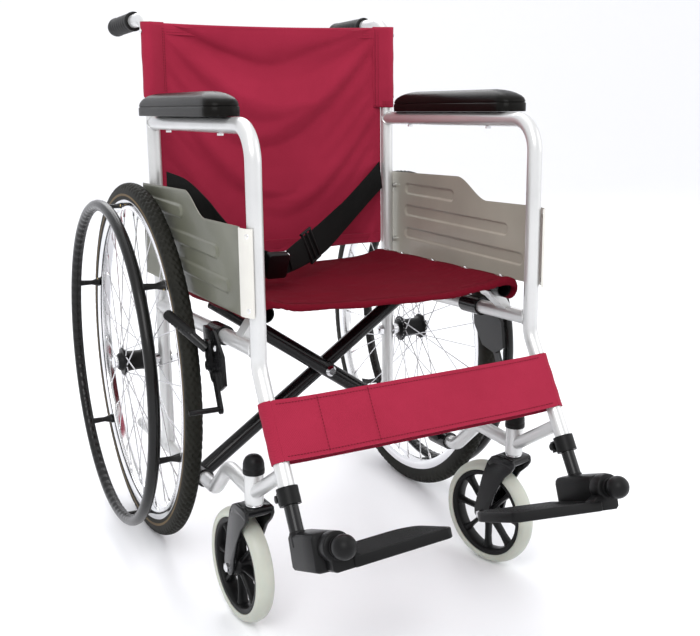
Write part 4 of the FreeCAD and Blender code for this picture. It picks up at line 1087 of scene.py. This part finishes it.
@dataclass
class BackSling:
    """Back sling between the posts, with a sleeve round the top of each post."""

    kit: Kit
    cloth: Cloth
    low: float = 470.0
    high: float = 855.0
    sleeve_low: float = 716.0

    def surface(self, x: float, z: float) -> Vector:
        """The panel's middle surface."""
        across = min(abs(x) / 206, 1.0)
        level = (z - self.low) / (self.high - self.low)
        bow = 10.0 * (1 - across ** 2) * (0.35 + 0.65 * math.sin(math.pi * min(max(level, 0.02), 0.98)))
        fold = (1.3 * wrinkle(x + z * 0.5, z, 0.011, 1.7) + 0.5 * wrinkle(x, z, 0.045, 5.5)) * (1
                                                                                                - across ** 4)
        pull = 0.9 * math.sin(z / 19 + 1.3 * math.sin(z / 63)) * max(0.0, (across - 0.55) / 0.45) * (1
                                                                                                     - across)
        top = -3.0 * (1 - across ** 2) * eased((level - 0.6) / 0.4)
        return Vector((x, back_post_y(z) + 3.0 + bow + fold + pull * 3, z + top))

    def build(self) -> None:
        """Builds the panel, its sleeves, hems and stitching."""
        xs = [-206.4 + 412.8 * i / 68 for i in range(69)]
        zs = [self.low + (self.high - self.low) * j / 64 for j in range(65)]
        rows = [[self.surface(x, z) for x in xs] for z in zs]
        panel = Shell().grid(rows, wrap_points=False).build("back_cloth", [self.kit.finishes["burgundy"]],
                                                            flat_angle=70)
        Cloth.settle(panel, lambda co: abs(co.x) > 0.198, gravity=0.15, tension=24.0, cap=0.007)
        modifier = panel.modifiers.new("fine", "SUBSURF")
        modifier.levels = modifier.render_levels = 1
        apply_modifiers(panel)
        self.cloth.coordinates(panel, lambda co: (co.x, co.z))
        self.cloth.thicken(panel, 2.4)
        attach(panel, "right_frame")
        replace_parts(panel, "back_sling")
        pieces = [panel, self.hem(self.high, 1), self.hem(self.low, -1)]
        lines = []
        for inset in (9, 13):
            lines.append([self.surface(x, self.high - inset) + Vector((0, -2.0, 0)) for x in xs[3:-3]])
        for inset in (10, 15):
            lines.append([self.surface(x, self.low + inset) + Vector((0, -2.0, 0)) for x in xs[3:-3]])
        stitches = self.cloth.stitches(lines, "back_stitches", "right_frame")
        pieces.append(stitches)
        for made in pieces:
            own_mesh(made)
        for side in Side:
            self.sleeve(side)

    def hem(self, level: float, way: int) -> bpy.types.Object:
        """A rolled hem along the panel's top or bottom."""
        rows = []
        for i in range(61):
            x = -205 + 410 * i / 60
            middle = self.surface(x, level - way * 9)
            rows.append([middle + Vector((0, dy, dz * way)) for dy, dz in
                         ((-2.1, -8), (-2.3, 6), (-1.4, 9.4), (0.4, 10), (2.0, 8.6), (2.4, 5), (2.1, -8))])
        hem = self.kit.add(Shell().grid(rows, caps=True), "back_hem_top" if way > 0 else "back_hem_low",
                           ("burgundy",), "right_frame", flat_angle=60)
        self.cloth.coordinates(hem, lambda co: (co.x, co.z))
        return hem

    def sleeve(self, side: Side) -> None:
        """The sleeve that slides over a post, sewn to the panel along its inner edge."""
        rows = []
        for j in range(29):
            z = self.sleeve_low + (self.high + 2 - self.sleeve_low) * j / 28
            y = back_post_y(z)
            wave = 0.4 * math.sin(z / 9.0) + 0.5 * wrinkle(z, 2.0, 0.05, 4.0)
            ring = []
            for k in range(30):
                angle = 2 * math.pi * k / 30
                out = Vector((-math.cos(angle), math.sin(angle), 0))
                radius = 13.0 + wave * 0.6
                x, yy = out.x * radius, out.y * radius
                if out.x > 0:
                    x = out.x * (radius + 13)
                    yy = out.y * radius * (1 - 0.72 * out.x) + 3.0 * out.x
                ring.append(Vector((-SIDE_X + x, y + yy, z)))
            rows.append(ring)
        shell = Shell().grid(rows, wrap_points=True)
        word = side.word
        made = self.kit.add(shell.sides(side), f"{word}_back_sleeve", ("burgundy",), f"{word}_frame",
                            flat_angle=70)
        modifier = made.modifiers.new("thickness", "SOLIDIFY")
        modifier.thickness, modifier.offset = 0.0012, -1
        apply_modifiers(made)
        made.data.shade_smooth()
        self.cloth.coordinates(made, lambda co: (math.atan2(co.y - back_post_y(co.z * 1000) * 0.001,
                                                             co.x - side.value * 0.218) * 0.013, co.z))
        height = self.high - self.sleeve_low
        height / 1000 + 0.002
        lines = []
        for inset in (24.5, 20.5):
            line = []
            for j in range(40):
                z = self.sleeve_low + 3 + (height - 6) * j / 39
                line.append(Vector((side.value * (SIDE_X - inset), back_post_y(z) - 3.6 - (24.5 - inset)
                                    * 0.9, z)))
            lines.append(line)
        for z in (self.sleeve_low + 6, self.sleeve_low + 10):
            arc = [Vector((side.value * (SIDE_X + 13.9 * math.cos(a)), back_post_y(z) + 13.9 * math.sin(a),
                           z))
                   for a in (math.radians(-150 + 12 * k) for k in range(11))]
            lines.append(arc)
        self.cloth.stitches(lines, f"{word}_sleeve_stitches", f"{word}_frame")


@dataclass
class CalfStrap:
    """Strap round both legs: a front and a back run, and a turn round each leg."""

    kit: Kit
    cloth: Cloth
    half: float = 41.0

    def point(self, x: float, v: float, out: float) -> Vector:
        """A point of the strap.

        Args:
            x: across the chair.
            v: down the strap, from -1 to 1.
            out: how far in front of the legs' centre plane.
        """
        share = (x + SIDE_X) / (2 * SIDE_X)
        drop = 86.0 + 12.0 * share
        middle = LEG_END - LEG_DOWN * drop
        forward = Vector((0, LEG_DOWN.z, -LEG_DOWN.y))
        spot = middle + LEG_DOWN * (v * self.half) + forward * out
        spot.x = x
        return spot

    def run(self, name: str, out: float, seed: float) -> bpy.types.Object:
        """One run of the strap between the legs."""
        xs = [-SIDE_X + 2 * SIDE_X * i / 90 for i in range(91)]
        rows = []
        for k in range(19):
            v = -1 + 2 * k / 18
            row = []
            for x in xs:
                level = 1 - abs(x / SIDE_X) ** 6
                seam = sum(math.exp(-((x - s) / 2.2) ** 2) for s in (-150, -76))
                fold = 1.0 * wrinkle(x, v * 30, 0.02, seed) + 0.5 * wrinkle(x, v * 40, 0.06, seed + 2)
                push = out + math.copysign(1.0, out) * ((fold - 0.9) * level - 0.9 * seam * (out > 0))
                edge = self.point(x, v, push)
                edge.z -= 2.5 * level * (1 - v * v * 0.3)
                row.append(edge)
            rows.append(row)
        return Shell().grid(rows, wrap_points=False).build(name, [self.kit.finishes["burgundy"]],
                                                           flat_angle=70)

    def build(self) -> None:
        """Builds the runs, the turns round the legs and the stitching."""
        pieces = []
        for name, out, seed in (("strap_front", 12.6, 2.0), ("strap_back", -12.6, 7.0)):
            made = self.run(name, out, seed)
            modifier = made.modifiers.new("fine", "SUBSURF")
            modifier.levels = modifier.render_levels = 1
            apply_modifiers(made)
            self.cloth.coordinates(made, lambda co: (co.x, co.z * 1.2))
            self.cloth.thicken(made, 1.6)
            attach(made, "right_frame")
            pieces.append(made)
        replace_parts(pieces[0], "calf_strap")
        xs = [-SIDE_X + 6 + (2 * SIDE_X - 12) * i / 120 for i in range(121)]
        lines = []
        for v in (-0.86, 0.86):
            lines.append([self.point(x, v, 13.7) + Vector((0, 0, -2.0 * (1 - abs(x / SIDE_X) ** 6)))
                          for x in xs])
        for seam in (-152, -76):
            lines.append([self.point(seam, -0.95 + 1.9 * k / 20, 13.4) + Vector((0, 0, -2.1))
                          for k in range(21)])
        pieces.append(self.cloth.stitches(lines, "strap_stitches", "right_frame"))
        for made in pieces:
            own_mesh(made)
        for side in Side:
            self.turn(side)

    def turn(self, side: Side) -> None:
        """The half turn round the outside of one leg."""
        rows = []
        for k in range(15):
            v = -1 + 2 * k / 14
            row = []
            for step in range(15):
                angle = math.radians(-90 + 180 * step / 14)
                radius = 12.6 + 0.25 * math.sin(v * 9 + step * 0.4)
                row.append(self.point(side.value * SIDE_X, v, radius * math.sin(angle))
                           + Vector((side.value * radius * math.cos(angle), 0, 0)))
            rows.append(row)
        made = Shell().grid(rows, wrap_points=False).build(f"{side.word}_strap_turn",
                                                           [self.kit.finishes["burgundy"]], flat_angle=70)
        self.cloth.coordinates(made, lambda co: (co.x + co.y * 0.5, co.z * 1.2))
        self.cloth.thicken(made, 1.6)
        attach(made, f"{side.word}_frame")


@dataclass
class SeatBelt:
    """Belt of webbing from post to post, with its slider and buckle."""

    kit: Kit
    cloth: Cloth
    width: float = 48.0

    def ribbon(self, name: str, path: Sequence[tuple[Point, Point]]) -> bpy.types.Object:
        """A strip of webbing.

        Args:
            name: its name.
            path: each centre point with the direction of the strip's width.

        Returns:
            The piece.
        """
        centre = flowing([Vector(p) for p, _ in path], 10)
        across = flowing([Vector(w).normalized() for _, w in path], 10)
        rows = []
        marks = [0.0]
        for a, b in zip(centre, centre[1:]):
            marks.append(marks[-1] + (b - a).length)
        for point, way in zip(centre, across):
            rows.append([point + way.normalized() * self.width * (k / 8 - 0.5) for k in range(9)])
        made = Shell().grid(rows, wrap_points=False).build(name, [self.kit.finishes["webbing"]],
                                                           flat_angle=70)
        attribute = made.data.attributes.new("cloth", "FLOAT_VECTOR", "POINT")
        for vertex, entry in zip(made.data.vertices, attribute.data):
            near = min(range(len(centre)), key=lambda i: (centre[i] * 0.001 - vertex.co).length_squared)
            entry.vector = ((vertex.co - centre[near] * 0.001).dot(across[near].normalized()),
                            marks[near] * 0.001, 0)
        self.cloth.thicken(made, 1.6)
        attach(made, "right_frame")
        self.width / 1000
        marks[-1] / 1000
        return made

    def build(self) -> None:
        """Builds both parts of the belt, the slider and the buckle."""
        far = [((203, 206, 595), (0, 0.25, 1)), ((160, 176, 572), (0, 0.1, 1)),
               ((80, 122, 529), (-0.1, 0, 1)), ((20, 74, 506), (-0.35, -0.1, 0.9)),
               ((-30, 30, 496), (-0.4, -0.25, 0.75)),
               ((-78, -18, 491), (-0.35, -0.45, 0.65)), ((-100, -38, 491), (-0.3, -0.5, 0.6))]
        near = [((-112, -42, 492), (0.1, -0.5, 0.7)), ((-140, -52, 500), (0.2, -0.25, 0.9)),
                ((-172, -60, 518), (0.2, 0, 1)), ((-194, -44, 548), (0.1, 0.1, 1)),
                ((-201, 0, 571), (0, 0, 1)), ((-203, 90, 590), (0, 0, 1)), ((-205, 190, 594), (0, 0, 1))]
        pieces = [self.ribbon("belt_far", far), self.ribbon("belt_near", near)]
        doubled = [(tuple(Vector(p) + Vector((2, -3, 4))), w) for p, w in far[2:6]]
        pieces.append(self.ribbon("belt_doubled", doubled))
        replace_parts(pieces[0], "seat_belt")
        pieces.append(self.slider())
        pieces.append(self.buckle())
        for made in pieces:
            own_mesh(made)

    def slider(self) -> bpy.types.Object:
        """Three-bar slider across the belt."""
        way = Vector((-0.4, -0.2, 0.82)).normalized()
        along = Vector((-0.7, -0.62, -0.2)).normalized()
        up = along.cross(way).normalized()
        centre = Vector((-14, 41, 504))
        shell = Shell()
        for u in (-15, 0, 15):
            rows = [[centre + way * s * 28 + along * (u + 2.6 * math.cos(a)) + up * (2.4 * math.sin(a) - 2)
                     for a in (2 * math.pi * k / 12 for k in range(12))] for s in (-1, 1)]
            shell.grid(rows, caps=True)
        for s in (-1, 1):
            rows = [[centre + way * (s * 28 + 2.4 * math.cos(a)) + along * u + up * (2.6 * math.sin(a) - 2)
                     for a in (2 * math.pi * k / 12 for k in range(12))] for u in (-18, 18)]
            shell.grid(rows, caps=True)
        return self.kit.add(shell, "belt_slider", ("black_plastic",), "right_frame", bevel=0.5)

    def buckle(self) -> bpy.types.Object:
        """Side-release buckle with a bright edge."""
        way = Vector((-0.1, -0.55, 0.7)).normalized()
        along = Vector((-0.85, -0.45, 0.1)).normalized()
        up = along.cross(way).normalized()
        centre = Vector((-106, -41, 493))
        place = Matrix.Translation(centre) @ Matrix((
            (along.x, way.x, up.x, 0), (along.y, way.y, up.y, 0), (along.z, way.z, up.z, 0), (0, 0, 0, 1)))
        shell = Shell()
        rows = rounded_box((-24, -27, -5), (24, 27, 5), 6)
        shell.grid([[place @ p for p in row] for row in rows], caps=True)
        rows = rounded_box((-9, -18, 4.5), (12, 18, 6.6), 4)
        shell.grid([[place @ p for p in row] for row in rows], caps=True)
        rows = rounded_box((-26.5, -25, -2.2), (-23.6, 25, 2.2), 1.2)
        shell.grid([[place @ p for p in row] for row in rows], caps=True, slot=1)
        return self.kit.add(shell, "belt_buckle", ("black_plastic", "chrome"), "right_frame", bevel=1.0)


# ------------------------------------------------------------------ frame fittings

@dataclass
class Fittings:
    """Arm pads, grips, caps and footrests."""

    kit: Kit
    side: Side

    def build(self) -> None:
        """Builds the fittings of one side."""
        word = self.side.word
        frame_body = f"{word}_frame"
        pad = self.kit.add(self.arm_pad().sides(self.side), f"{word}_arm_cushion", ("pad_plastic",),
                           frame_body, [f"{word}_arm_pad"], flat_angle=45)
        self.kit.add(self.grip().sides(self.side), f"{word}_push_handle", ("grip_rubber",), frame_body,
                     [f"{word}_push_grip"])
        self.kit.add(self.cap().sides(self.side), f"{word}_barrel_cap", ("black_plastic",), frame_body,
                     [f"{word}_caster_cap"])
        self.kit.add(self.block().sides(self.side), f"{word}_foot_block", ("black_plastic", "chrome"),
                     f"{word}_footrest", [f"{word}_footrest_block"], flat_angle=40)
        self.kit.add(self.plate().sides(self.side), f"{word}_foot_plate", ("black_plastic",),
                     f"{word}_footplate", [f"{word}_footplate"], bevel=0.8)
        self.kit.add(self.lever_grip().sides(self.side), f"{word}_lever_sleeve", ("grip_rubber",),
                     f"{word}_brake_lever")

    def arm_pad(self) -> Shell:
        """Moulded pad: a low band, a groove, and a crowned top whose ends slope down."""
        y0, length, half, radius = -177.0, 353.0, 26.0, 20.0
        levels = [(0.4, 0.3), (0, 2), (0, 12.4), (0.5, 13.2), (1.4, 13.6), (1.5, 14.4), (0.7, 15),
                  (0.9, 16.6), (1.9, 20.4), (3.6, 24), (6.2, 27.6), (9.8, 30.6), (14.4, 32.8), (19.4, 34)]
        rows = []
        place = at((-SIDE_X - 12, y0, arm_top_z(y0)), Matrix.Rotation(-math.radians(2.3), 4, "X"))
        for inset, height in levels:
            ends = inset * (1 + 1.9 * eased((height - 15) / 14))
            reach = max(radius - inset * 0.55, 6.0)
            low, high = (-half + inset, ends), (half - inset, length - ends)
            ring = []
            for x, y, start in ((high[0] - reach, high[1] - reach, 0), (low[0] + reach, high[1] - reach, 90),
                                (low[0] + reach, low[1] + reach, 180),
                                (high[0] - reach, low[1] + reach, 270)):
                for step in range(9):
                    angle = math.radians(start + 90 * step / 8)
                    ring.append(place @ Vector((x + reach * math.cos(angle), y + reach * math.sin(angle),
                                                height)))
            rows.append(self.refined(ring))
        return Shell().grid(rows, caps=True)

    @staticmethod
    def refined(ring: Sequence[Vector]) -> list[Vector]:
        """A ring with points added along its long edges."""
        made = []
        for a, b in zip(ring, [*ring[1:], ring[0]]):
            parts = 24 if (b - a).length > 120 else 1
            made += [a.lerp(b, k / parts) for k in range(parts)]
        return made

    def grip(self) -> Shell:
        """Push grip, smooth above and ridged below for the fingers, with a rounded end."""
        profile = [(11.15, 0), (14.6, 0), (15.8, 0.8), (16.2, 2.4), (16.2, 7), (15.6, 9)]
        profile += [(15.6, 9 + 3 * k) for k in range(1, 34)]
        profile += [(15.8, 112), (16.2, 115), (16.2, 121), (15.4, 126), (13.4, 129.6), (10, 131.6), (6, 132),
                    (0.1, 132)]

        def fingers(angle: float, index: int, radius: float, height: float) -> tuple[float, float]:
            """Presses finger ridges into the lower half."""
            if not 9 < height < 110:
                return radius, height
            below = eased(0.5 + 1.2 * math.sin(angle))
            return radius - 1.5 * below * (0.5 - 0.5 * math.cos(2 * math.pi * (height - 9) / 14.4)), height

        start = 865 - (305 - back_post_y(865)) * HANDLE_DROOP
        place = at((-SIDE_X, 305, start),
                   Matrix.Rotation(math.radians(-90) - math.atan(HANDLE_DROOP), 4, "X"))
        return Shell().lathe(profile, place, steps=64, shape=fingers)

    def cap(self) -> Shell:
        """Domed cap on the caster barrel."""
        profile = [(13.6, 242), (15.2, 242.2), (15.4, 244), (15.4, 249), (14.7, 250), (15.1, 251),
                   (14.9, 256), (13.8, 260.6), (11.6, 264.6), (8.4, 267.4), (4.4, 268.8), (0.1, 269.2)]
        return Shell().lathe(profile, at((-SIDE_X, CASTER_Y, 0)), steps=48)

    def foot_place(self, rise: float = 0.0) -> Matrix:
        """The footrest hinge's frame: X to the middle, Y back along the hinge."""
        place = at((-FOOT.x, FOOT.y, FOOT.z), Matrix.Rotation(-FOOT_TILT, 4, "X"))
        return place @ Matrix.Rotation(-rise, 4, "Y")

    def block(self) -> Shell:
        """Hinge block with rounded sides, the sleeve above it, and the bumper ball."""
        place = self.foot_place()
        outline = [(-23.6, -26), (-22, -28.8), (-18, -30), (9, -30), (13, -28.4), (14.5, -25), (14.5, 9),
                   (13, 14), (9, 17.4), (3, 18), (-16, 18), (-21, 16.4), (-23.6, 12)]
        rows = []
        for y, inset in ((24, 2.4), (25.4, 0.6), (27, 0), (60, 0), (100, 0), (105, 0.8), (107.6, 3)):
            rows.append([place @ Vector((-2.7 + (x + 2.7) * (1 - inset / 17), y, -6 + (z + 6)
                                         * (1 - inset / 24)))
                         for x, z in outline])
        shell = Shell().grid(rows, caps=True)
        profile = []
        for step in range(17):
            angle = math.radians(-90 + 180 * step / 16)
            profile.append((max(15.5 * math.cos(angle), 0.1), 15.5 * math.sin(angle)))
        shell.lathe(profile, place @ at((0, -15.5, 0), Matrix.Rotation(math.radians(90), 4, "X")), steps=40)
        turned = place @ at((0, 0, 0), Matrix.Rotation(math.radians(-90), 4, "X"))
        shell.lathe([(5, -8), (5, 30)], turned, steps=24)
        collar = [(9, -2.6), (12.6, -2.2), (13.2, 0.6), (5.2, 1.4)]
        shell.lathe(collar, turned, steps=36)
        socket_place = at(LEG_END + Vector((-SIDE_X, 0, 0)),
                          LEG_DOWN.to_track_quat("Z", "Y").to_matrix().to_4x4())
        shell.lathe([(9.6, 43), (10.2, 43.6), (10.4, 45), (10.4, 62)], socket_place, steps=32)
        return shell

    def plate(self) -> Shell:
        """Footplate: a dished tray with ribs across its top, and its hinge lug."""
        place = self.foot_place(FOOT_RISE)
        shell = Shell()
        ring = []
        for x, y, r, start in ((157, 117, 34, 0), (16, 117, 3, 90), (16, 0, 3, 180), (157, 0, 10, 270)):
            cx = x - r if x > 20 else x + r
            cy = y - r if y > 0 else y + r
            for step in range(9):
                angle = math.radians(start + 90 * step / 8)
                ring.append((cx + r * math.cos(angle), cy + r * math.sin(angle)))
        centre = (86, 58)

        def level(inset: float, z: float) -> list[Vector]:
            """The outline drawn in by an inset, at a height."""
            made = []
            for x, y in ring:
                dx, dy = x - centre[0], y - centre[1]
                made.append(place @ Vector((x - math.copysign(min(inset, abs(dx)), dx),
                                            y - math.copysign(min(inset, abs(dy)), dy), z)))
            return made

        rows = [level(6, -22.5), level(4.2, -22.3), level(4, -29.5), level(1.2, -30), level(0.1, -28.8),
                level(0, -18), level(0.8, -16.6), level(2.2, -16.4), level(3.4, -17.6), level(6, -17.8)]
        shell.grid(rows, caps=True)
        for index in range(17):
            y = 9 + index * 6.1
            low, high = 26.0, 151.0 - max(0.0, (y - 86) * 0.9)
            bar = [[place @ Vector((x, y + dy, z)) for dy, z in ((-1.5, -18.4), (-0.9, -16.5), (0.9, -16.5),
                                                                (1.5, -18.4))] for x in (low, high)]
            shell.grid(bar, caps=True)
        turned = place @ Matrix.Rotation(math.radians(-90), 4, "X")
        lug = [(5.1, 2.2), (16.5, 2.2), (18.6, 3.4), (19, 5), (19, 20), (18.2, 22), (16.5, 22.8), (5.1, 22.8)]
        shell.lathe(lug, turned, steps=48, closed=True)
        web = [[place @ Vector((x, y, z)) for x,
                z in ((-12, -10), (16, -8), (30, -17), (30, -29.6), (-8, -29.6),
                                                       (-12, -26))] for y in (2.4, 22.6)]
        shell.grid(web, caps=True)
        return shell

    def lever_grip(self) -> Shell:
        """Soft sleeve with rings on the end of the brake lever."""
        start, end = Vector((-262, -99.6, 415.6)), Vector((-288, -78, 441))
        points = [start.lerp(end, k / 14) for k in range(15)]
        radii = [7.4 if k % 2 else 7.9 for k in range(15)]
        tip = (end - start).normalized()
        points += [end + tip * 4, end + tip * 6.4, end + tip * 7.4]
        radii += [7.0, 4.6, 1.2]
        return Shell().tube(points, radii, steps=24)


@dataclass
class Details:
    """Pieces on the frame: the pressed side panel, weld beads, bolt heads and the panel's bright edge."""

    kit: Kit
    side: Side

    def build(self) -> None:
        """Builds one side's small pieces."""
        word = self.side.word
        # the panel's outer faces take the darker copy of its paint: painted shade
        self.kit.add(self.panel().sides(self.side), f"{word}_pressed_panel", ("panel_paint", "panel_outside"),
                     f"{word}_frame", [f"{word}_side_panel"], flat_angle=50)
        self.kit.add(self.beads().sides(self.side), f"{word}_weld_beads", ("silver_paint",), f"{word}_frame")
        self.kit.add(self.bolts().sides(self.side), f"{word}_frame_bolts", ("chrome",), f"{word}_frame")
        self.kit.add(self.panel_edge().sides(self.side), f"{word}_panel_edge", ("panel_edge",),
                     f"{word}_frame")

    @staticmethod
    def pressed(y: float, z: float) -> float:
        """How far the panel's three ribs stand out at a point."""
        best = 0.0
        for front, low in ((4, 566), (-157, 531), (-200, 491)):
            across = z - low + (y - front) * math.tan(math.radians(1.5)) - 10.5
            half = (172 - front) / 2
            dx, dz = abs(y - front - half) - (half - 10.5), abs(across)
            gap = math.hypot(max(dx, 0), dz) if dx > 0 else dz
            best = max(best, 2.9 * eased((10.5 - gap) / 2.8))
        return best

    def panel(self) -> Shell:
        """Pressed sheet with ribs, a stepped top edge, and rolled-in borders."""
        shell = Shell()
        starts = []
        columns = [-237 + 462 * i / 230 for i in range(231)]
        # the inner face (slot 0) takes panel_paint, the outer face (slot 1) the darker copy: painted shade
        for depth, slot in ((0.0, 0), (1.5, 1)):
            rows = []
            for y in columns:
                low = 446 + (225 - y) * (24 / 463)
                high = 598 + (225 - y) * (13 / 235)
                if y < -95:
                    high = 580 + (-95 - y) * (8 / 141)
                elif y < -6:
                    high = 580 + (610.8 - 580) * eased((y + 95) / 89)
                row = []
                for k in range(105):
                    z = low + (high - low) * k / 104
                    edge = min((z - low), (high - z), y + 237, 225 - y)
                    roll = 0.9 * (1 - eased(edge / 3.0))
                    row.append(Vector((-236 - depth - self.pressed(y, z) + roll * (1 if depth else 0), y, z)))
                rows.append(row)
            start = len(shell.points)
            shell.grid(rows, wrap_points=False, slot=slot)
            starts.append(start)
        wide, tall = 105, 231
        ring = [i * wide for i in range(tall)] + [(tall - 1) * wide + k for k in range(1, wide)]
        ring += [i * wide + wide - 1 for i in range(tall - 2, -1, -1)] + [k for k in range(wide - 2, 0, -1)]
        inside, outside = starts
        for a, b in zip(ring, ring[1:] + ring[:1]):
            shell.faces.append((inside + a, inside + b, outside + b, outside + a))
            shell.slots.append(0)
        return shell

    def beads(self) -> Shell:
        """Weld beads where the tubes meet."""
        shell = Shell()
        spots = [((-SIDE_X, 200 + 13.9, 697.4), Vector((0, 1, -ARM_TILT))),
                 ((-SIDE_X, -251, 422.5), Vector((0, 1, -RAIL_TILT))),
                 ((-SIDE_X, 203.2, 390.9), Vector((0, 1, -RAIL_TILT)))]
        for (x, y, z), along in spots:
            sign = -1 if y > 0 else 1
            turn = along.normalized().to_track_quat("Z", "Y").to_matrix().to_4x4()
            place = at(Vector((x, y + sign * 11.4, z)), turn)
            ring = []
            for k in range(48):
                a = 2 * math.pi * k / 48
                curve = (TUBE_R - math.sqrt(max(TUBE_R ** 2 - (11.6 * math.cos(a)) ** 2, 0.0))) * 0.62
                ring.append(place @ Vector((11.7 * math.cos(a), 11.7 * math.sin(a), sign * (0.4 - curve))))
            shell.tube(ring, 1.5, steps=8, closed=True)
        return shell

    def bolts(self) -> Shell:
        """Heads on the outside of the posts, rails and brake."""
        shell = Shell()
        for z in (574, 474):
            shell.screw(Vector((-237.4 - 2.3, back_post_y(z), z)), Vector((-1, 0, 0)), 5.2, 2.0)
        for y, z in ((-86, 398), (-134, 400)):
            shell.screw(Vector((-238.8, y, z)), Vector((-1, 0, 0)), 4.6, 2.0)
        for z in (480, 577):
            shell.screw(Vector((-231.9, front_post_y(z) - 7.2, z)), Vector((-0.894, -0.45, 0)), 4.6, 2.4)
        for z in (842, 735):
            shell.screw(Vector((-231.2, back_post_y(z), z)), Vector((-1, 0, 0)), 4.2, 2.0)
        return shell

    def panel_edge(self) -> Shell:
        """Bright folded front edge of the side panel."""
        rows = []
        for k in range(13):
            z = 471 + 116 * k / 12
            y = front_post_y(z)
            rows.append([Vector((x, y + dy, z)) for x, dy in
                         ((-237.9, 9), (-238.1, 3), (-235.8, -5), (-231.6, -11.5), (-228, -14.2),
                          (-226.2, -13.2), (-230.4, -10.2), (-235.2, -3.4), (-236.6, 3.2), (-236.6, 9))])
        return Shell().grid(rows, caps=True)


# ------------------------------------------------------------------ the whole scene

CAD_FINISHES = {
    "back_post": "silver_paint", "arm_tube": "silver_paint", "side_rail": "silver_paint",
    "lower_rail": "silver_paint", "side_panel": "panel_paint", "frame_screws": "chrome",
    "brake_bracket": "black_paint", "footrest_clamp": "black_plastic", "axle": "chrome",
    "brake_lever": "black_paint", "brake_shoe": "black_paint", "footrest_tube": "black_paint",
    "cross_bar_a": "black_paint", "cross_bar_b": "black_paint", "cross_pivot_bolt": "chrome",
}


def finish_cad(frame: dict, finishes: Finishes) -> None:
    """Gives the carried-over CAD nodes their finishes.

    Args:
        finishes: the scene's finishes.
    """
    for name, node in frame["nodes"].items():
        short = name.removeprefix("right_").removeprefix("left_")
        finish = CAD_FINISHES.get(short)
        if finish is None:
            continue
        node.data.materials.clear()
        node.data.materials.append(finishes[finish])


def add_stage() -> None:
    """Pale floor that curves up behind the chair, soft lights and a pale sky."""
    rows = []
    for x in (-9000, 9000):
        row = [Vector((x, -9000, -0.4)), Vector((x, 4000, -0.4))]
        row += [Vector((x, 4000 + 2500 * math.sin(a), -0.4 + 2500 * (1 - math.cos(a))))
                for a in (math.radians(9 * k) for k in range(1, 11))]
        row.append(Vector((x, 6500, 9000)))
        rows.append(row)
    material = bpy.data.materials.new("floor")
    material.use_nodes = True
    shader = material.node_tree.nodes["Principled BSDF"]
    shader.inputs["Base Color"].default_value = (0.93, 0.935, 0.96, 1)
    shader.inputs["Roughness"].default_value = 0.32
    shader.inputs["Specular IOR Level"].default_value = 0.35
    floor = Shell().grid(rows, wrap_points=False).build("floor", [material], flat_angle=60)
    world = bpy.data.worlds.new("sky")
    bpy.context.scene.world = world
    world.use_nodes = True
    background = world.node_tree.nodes["Background"]
    background.inputs["Color"].default_value = (0.99, 0.99, 1.0, 1)
    background.inputs["Strength"].default_value = 1.06
    for name, place, target, size, power in (
            ("key", (-1.6, -2.6, 3.0), (0, 0, 0.4), 2.2, 62),
                                             ("fill", (2.8, -1.6, 1.8), (0, 0, 0.4), 2.6, 22),
            ("rim", (0.6, 2.6, 2.6), (0, 0, 0.5), 2.4, 40), ("top", (0, 0, 3.6), (0, 0, 0), 3.0, 20)):
        light = bpy.data.lights.new(name, "AREA")
        light.size, light.energy = size, power
        lamp = bpy.data.objects.new(name, light)
        lamp.location = place
        lamp.rotation_euler = (Vector(target) - Vector(place)).to_track_quat("-Z", "Y").to_euler()
        bpy.context.scene.collection.objects.link(lamp)


def add_camera() -> None:
    """The camera in front of the chair and to its right, and plain colour management."""
    bpy.context.scene.view_settings.view_transform = "Standard"
    azimuth, elevation, roll = CAMERA_TURN
    ahead = Vector((-math.sin(azimuth) * math.cos(elevation), math.cos(azimuth) * math.cos(elevation),
                    -math.sin(elevation)))
    right = ahead.cross(Vector((0, 0, 1))).normalized()
    up = right.cross(ahead)
    right, up = (right * math.cos(roll) + up * math.sin(roll), up * math.cos(roll) - right * math.sin(roll))
    data = bpy.data.cameras.new("camera")
    data.sensor_width, data.lens = CAMERA_SENSOR, CAMERA_LENS
    camera = bpy.data.objects.new("camera", data)
    back = -ahead
    camera.matrix_world = Matrix([(*axes, start) for *axes, start in zip(right, up, back, CAMERA_PLACE)]
                                 + [(0, 0, 0, 1)])
    bpy.context.scene.collection.objects.link(camera)
    bpy.context.scene.camera = camera


def main() -> None:
    """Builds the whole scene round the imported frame."""
    logging.basicConfig(level=logging.INFO, format="%(message)s")
    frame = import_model()
    add_camera()
    finishes = Finishes()
    finish_cad(frame, finishes)
    kit = Kit(finishes)
    cloth = Cloth(kit)
    for side, steer in ((Side.RIGHT, 5.0), (Side.LEFT, 15.0)):
        RearWheel(kit, side).build()
        Caster(kit, side, steer).build()
        Fittings(kit, side).build()
        Details(kit, side).build()
    Seat(kit, cloth).build()
    BackSling(kit, cloth).build()
    CalfStrap(kit, cloth).build()
    SeatBelt(kit, cloth).build()
    add_stage()
    LOG.info("pieces: %d", len(kit.made))


if __name__ == "__main__":
    main()
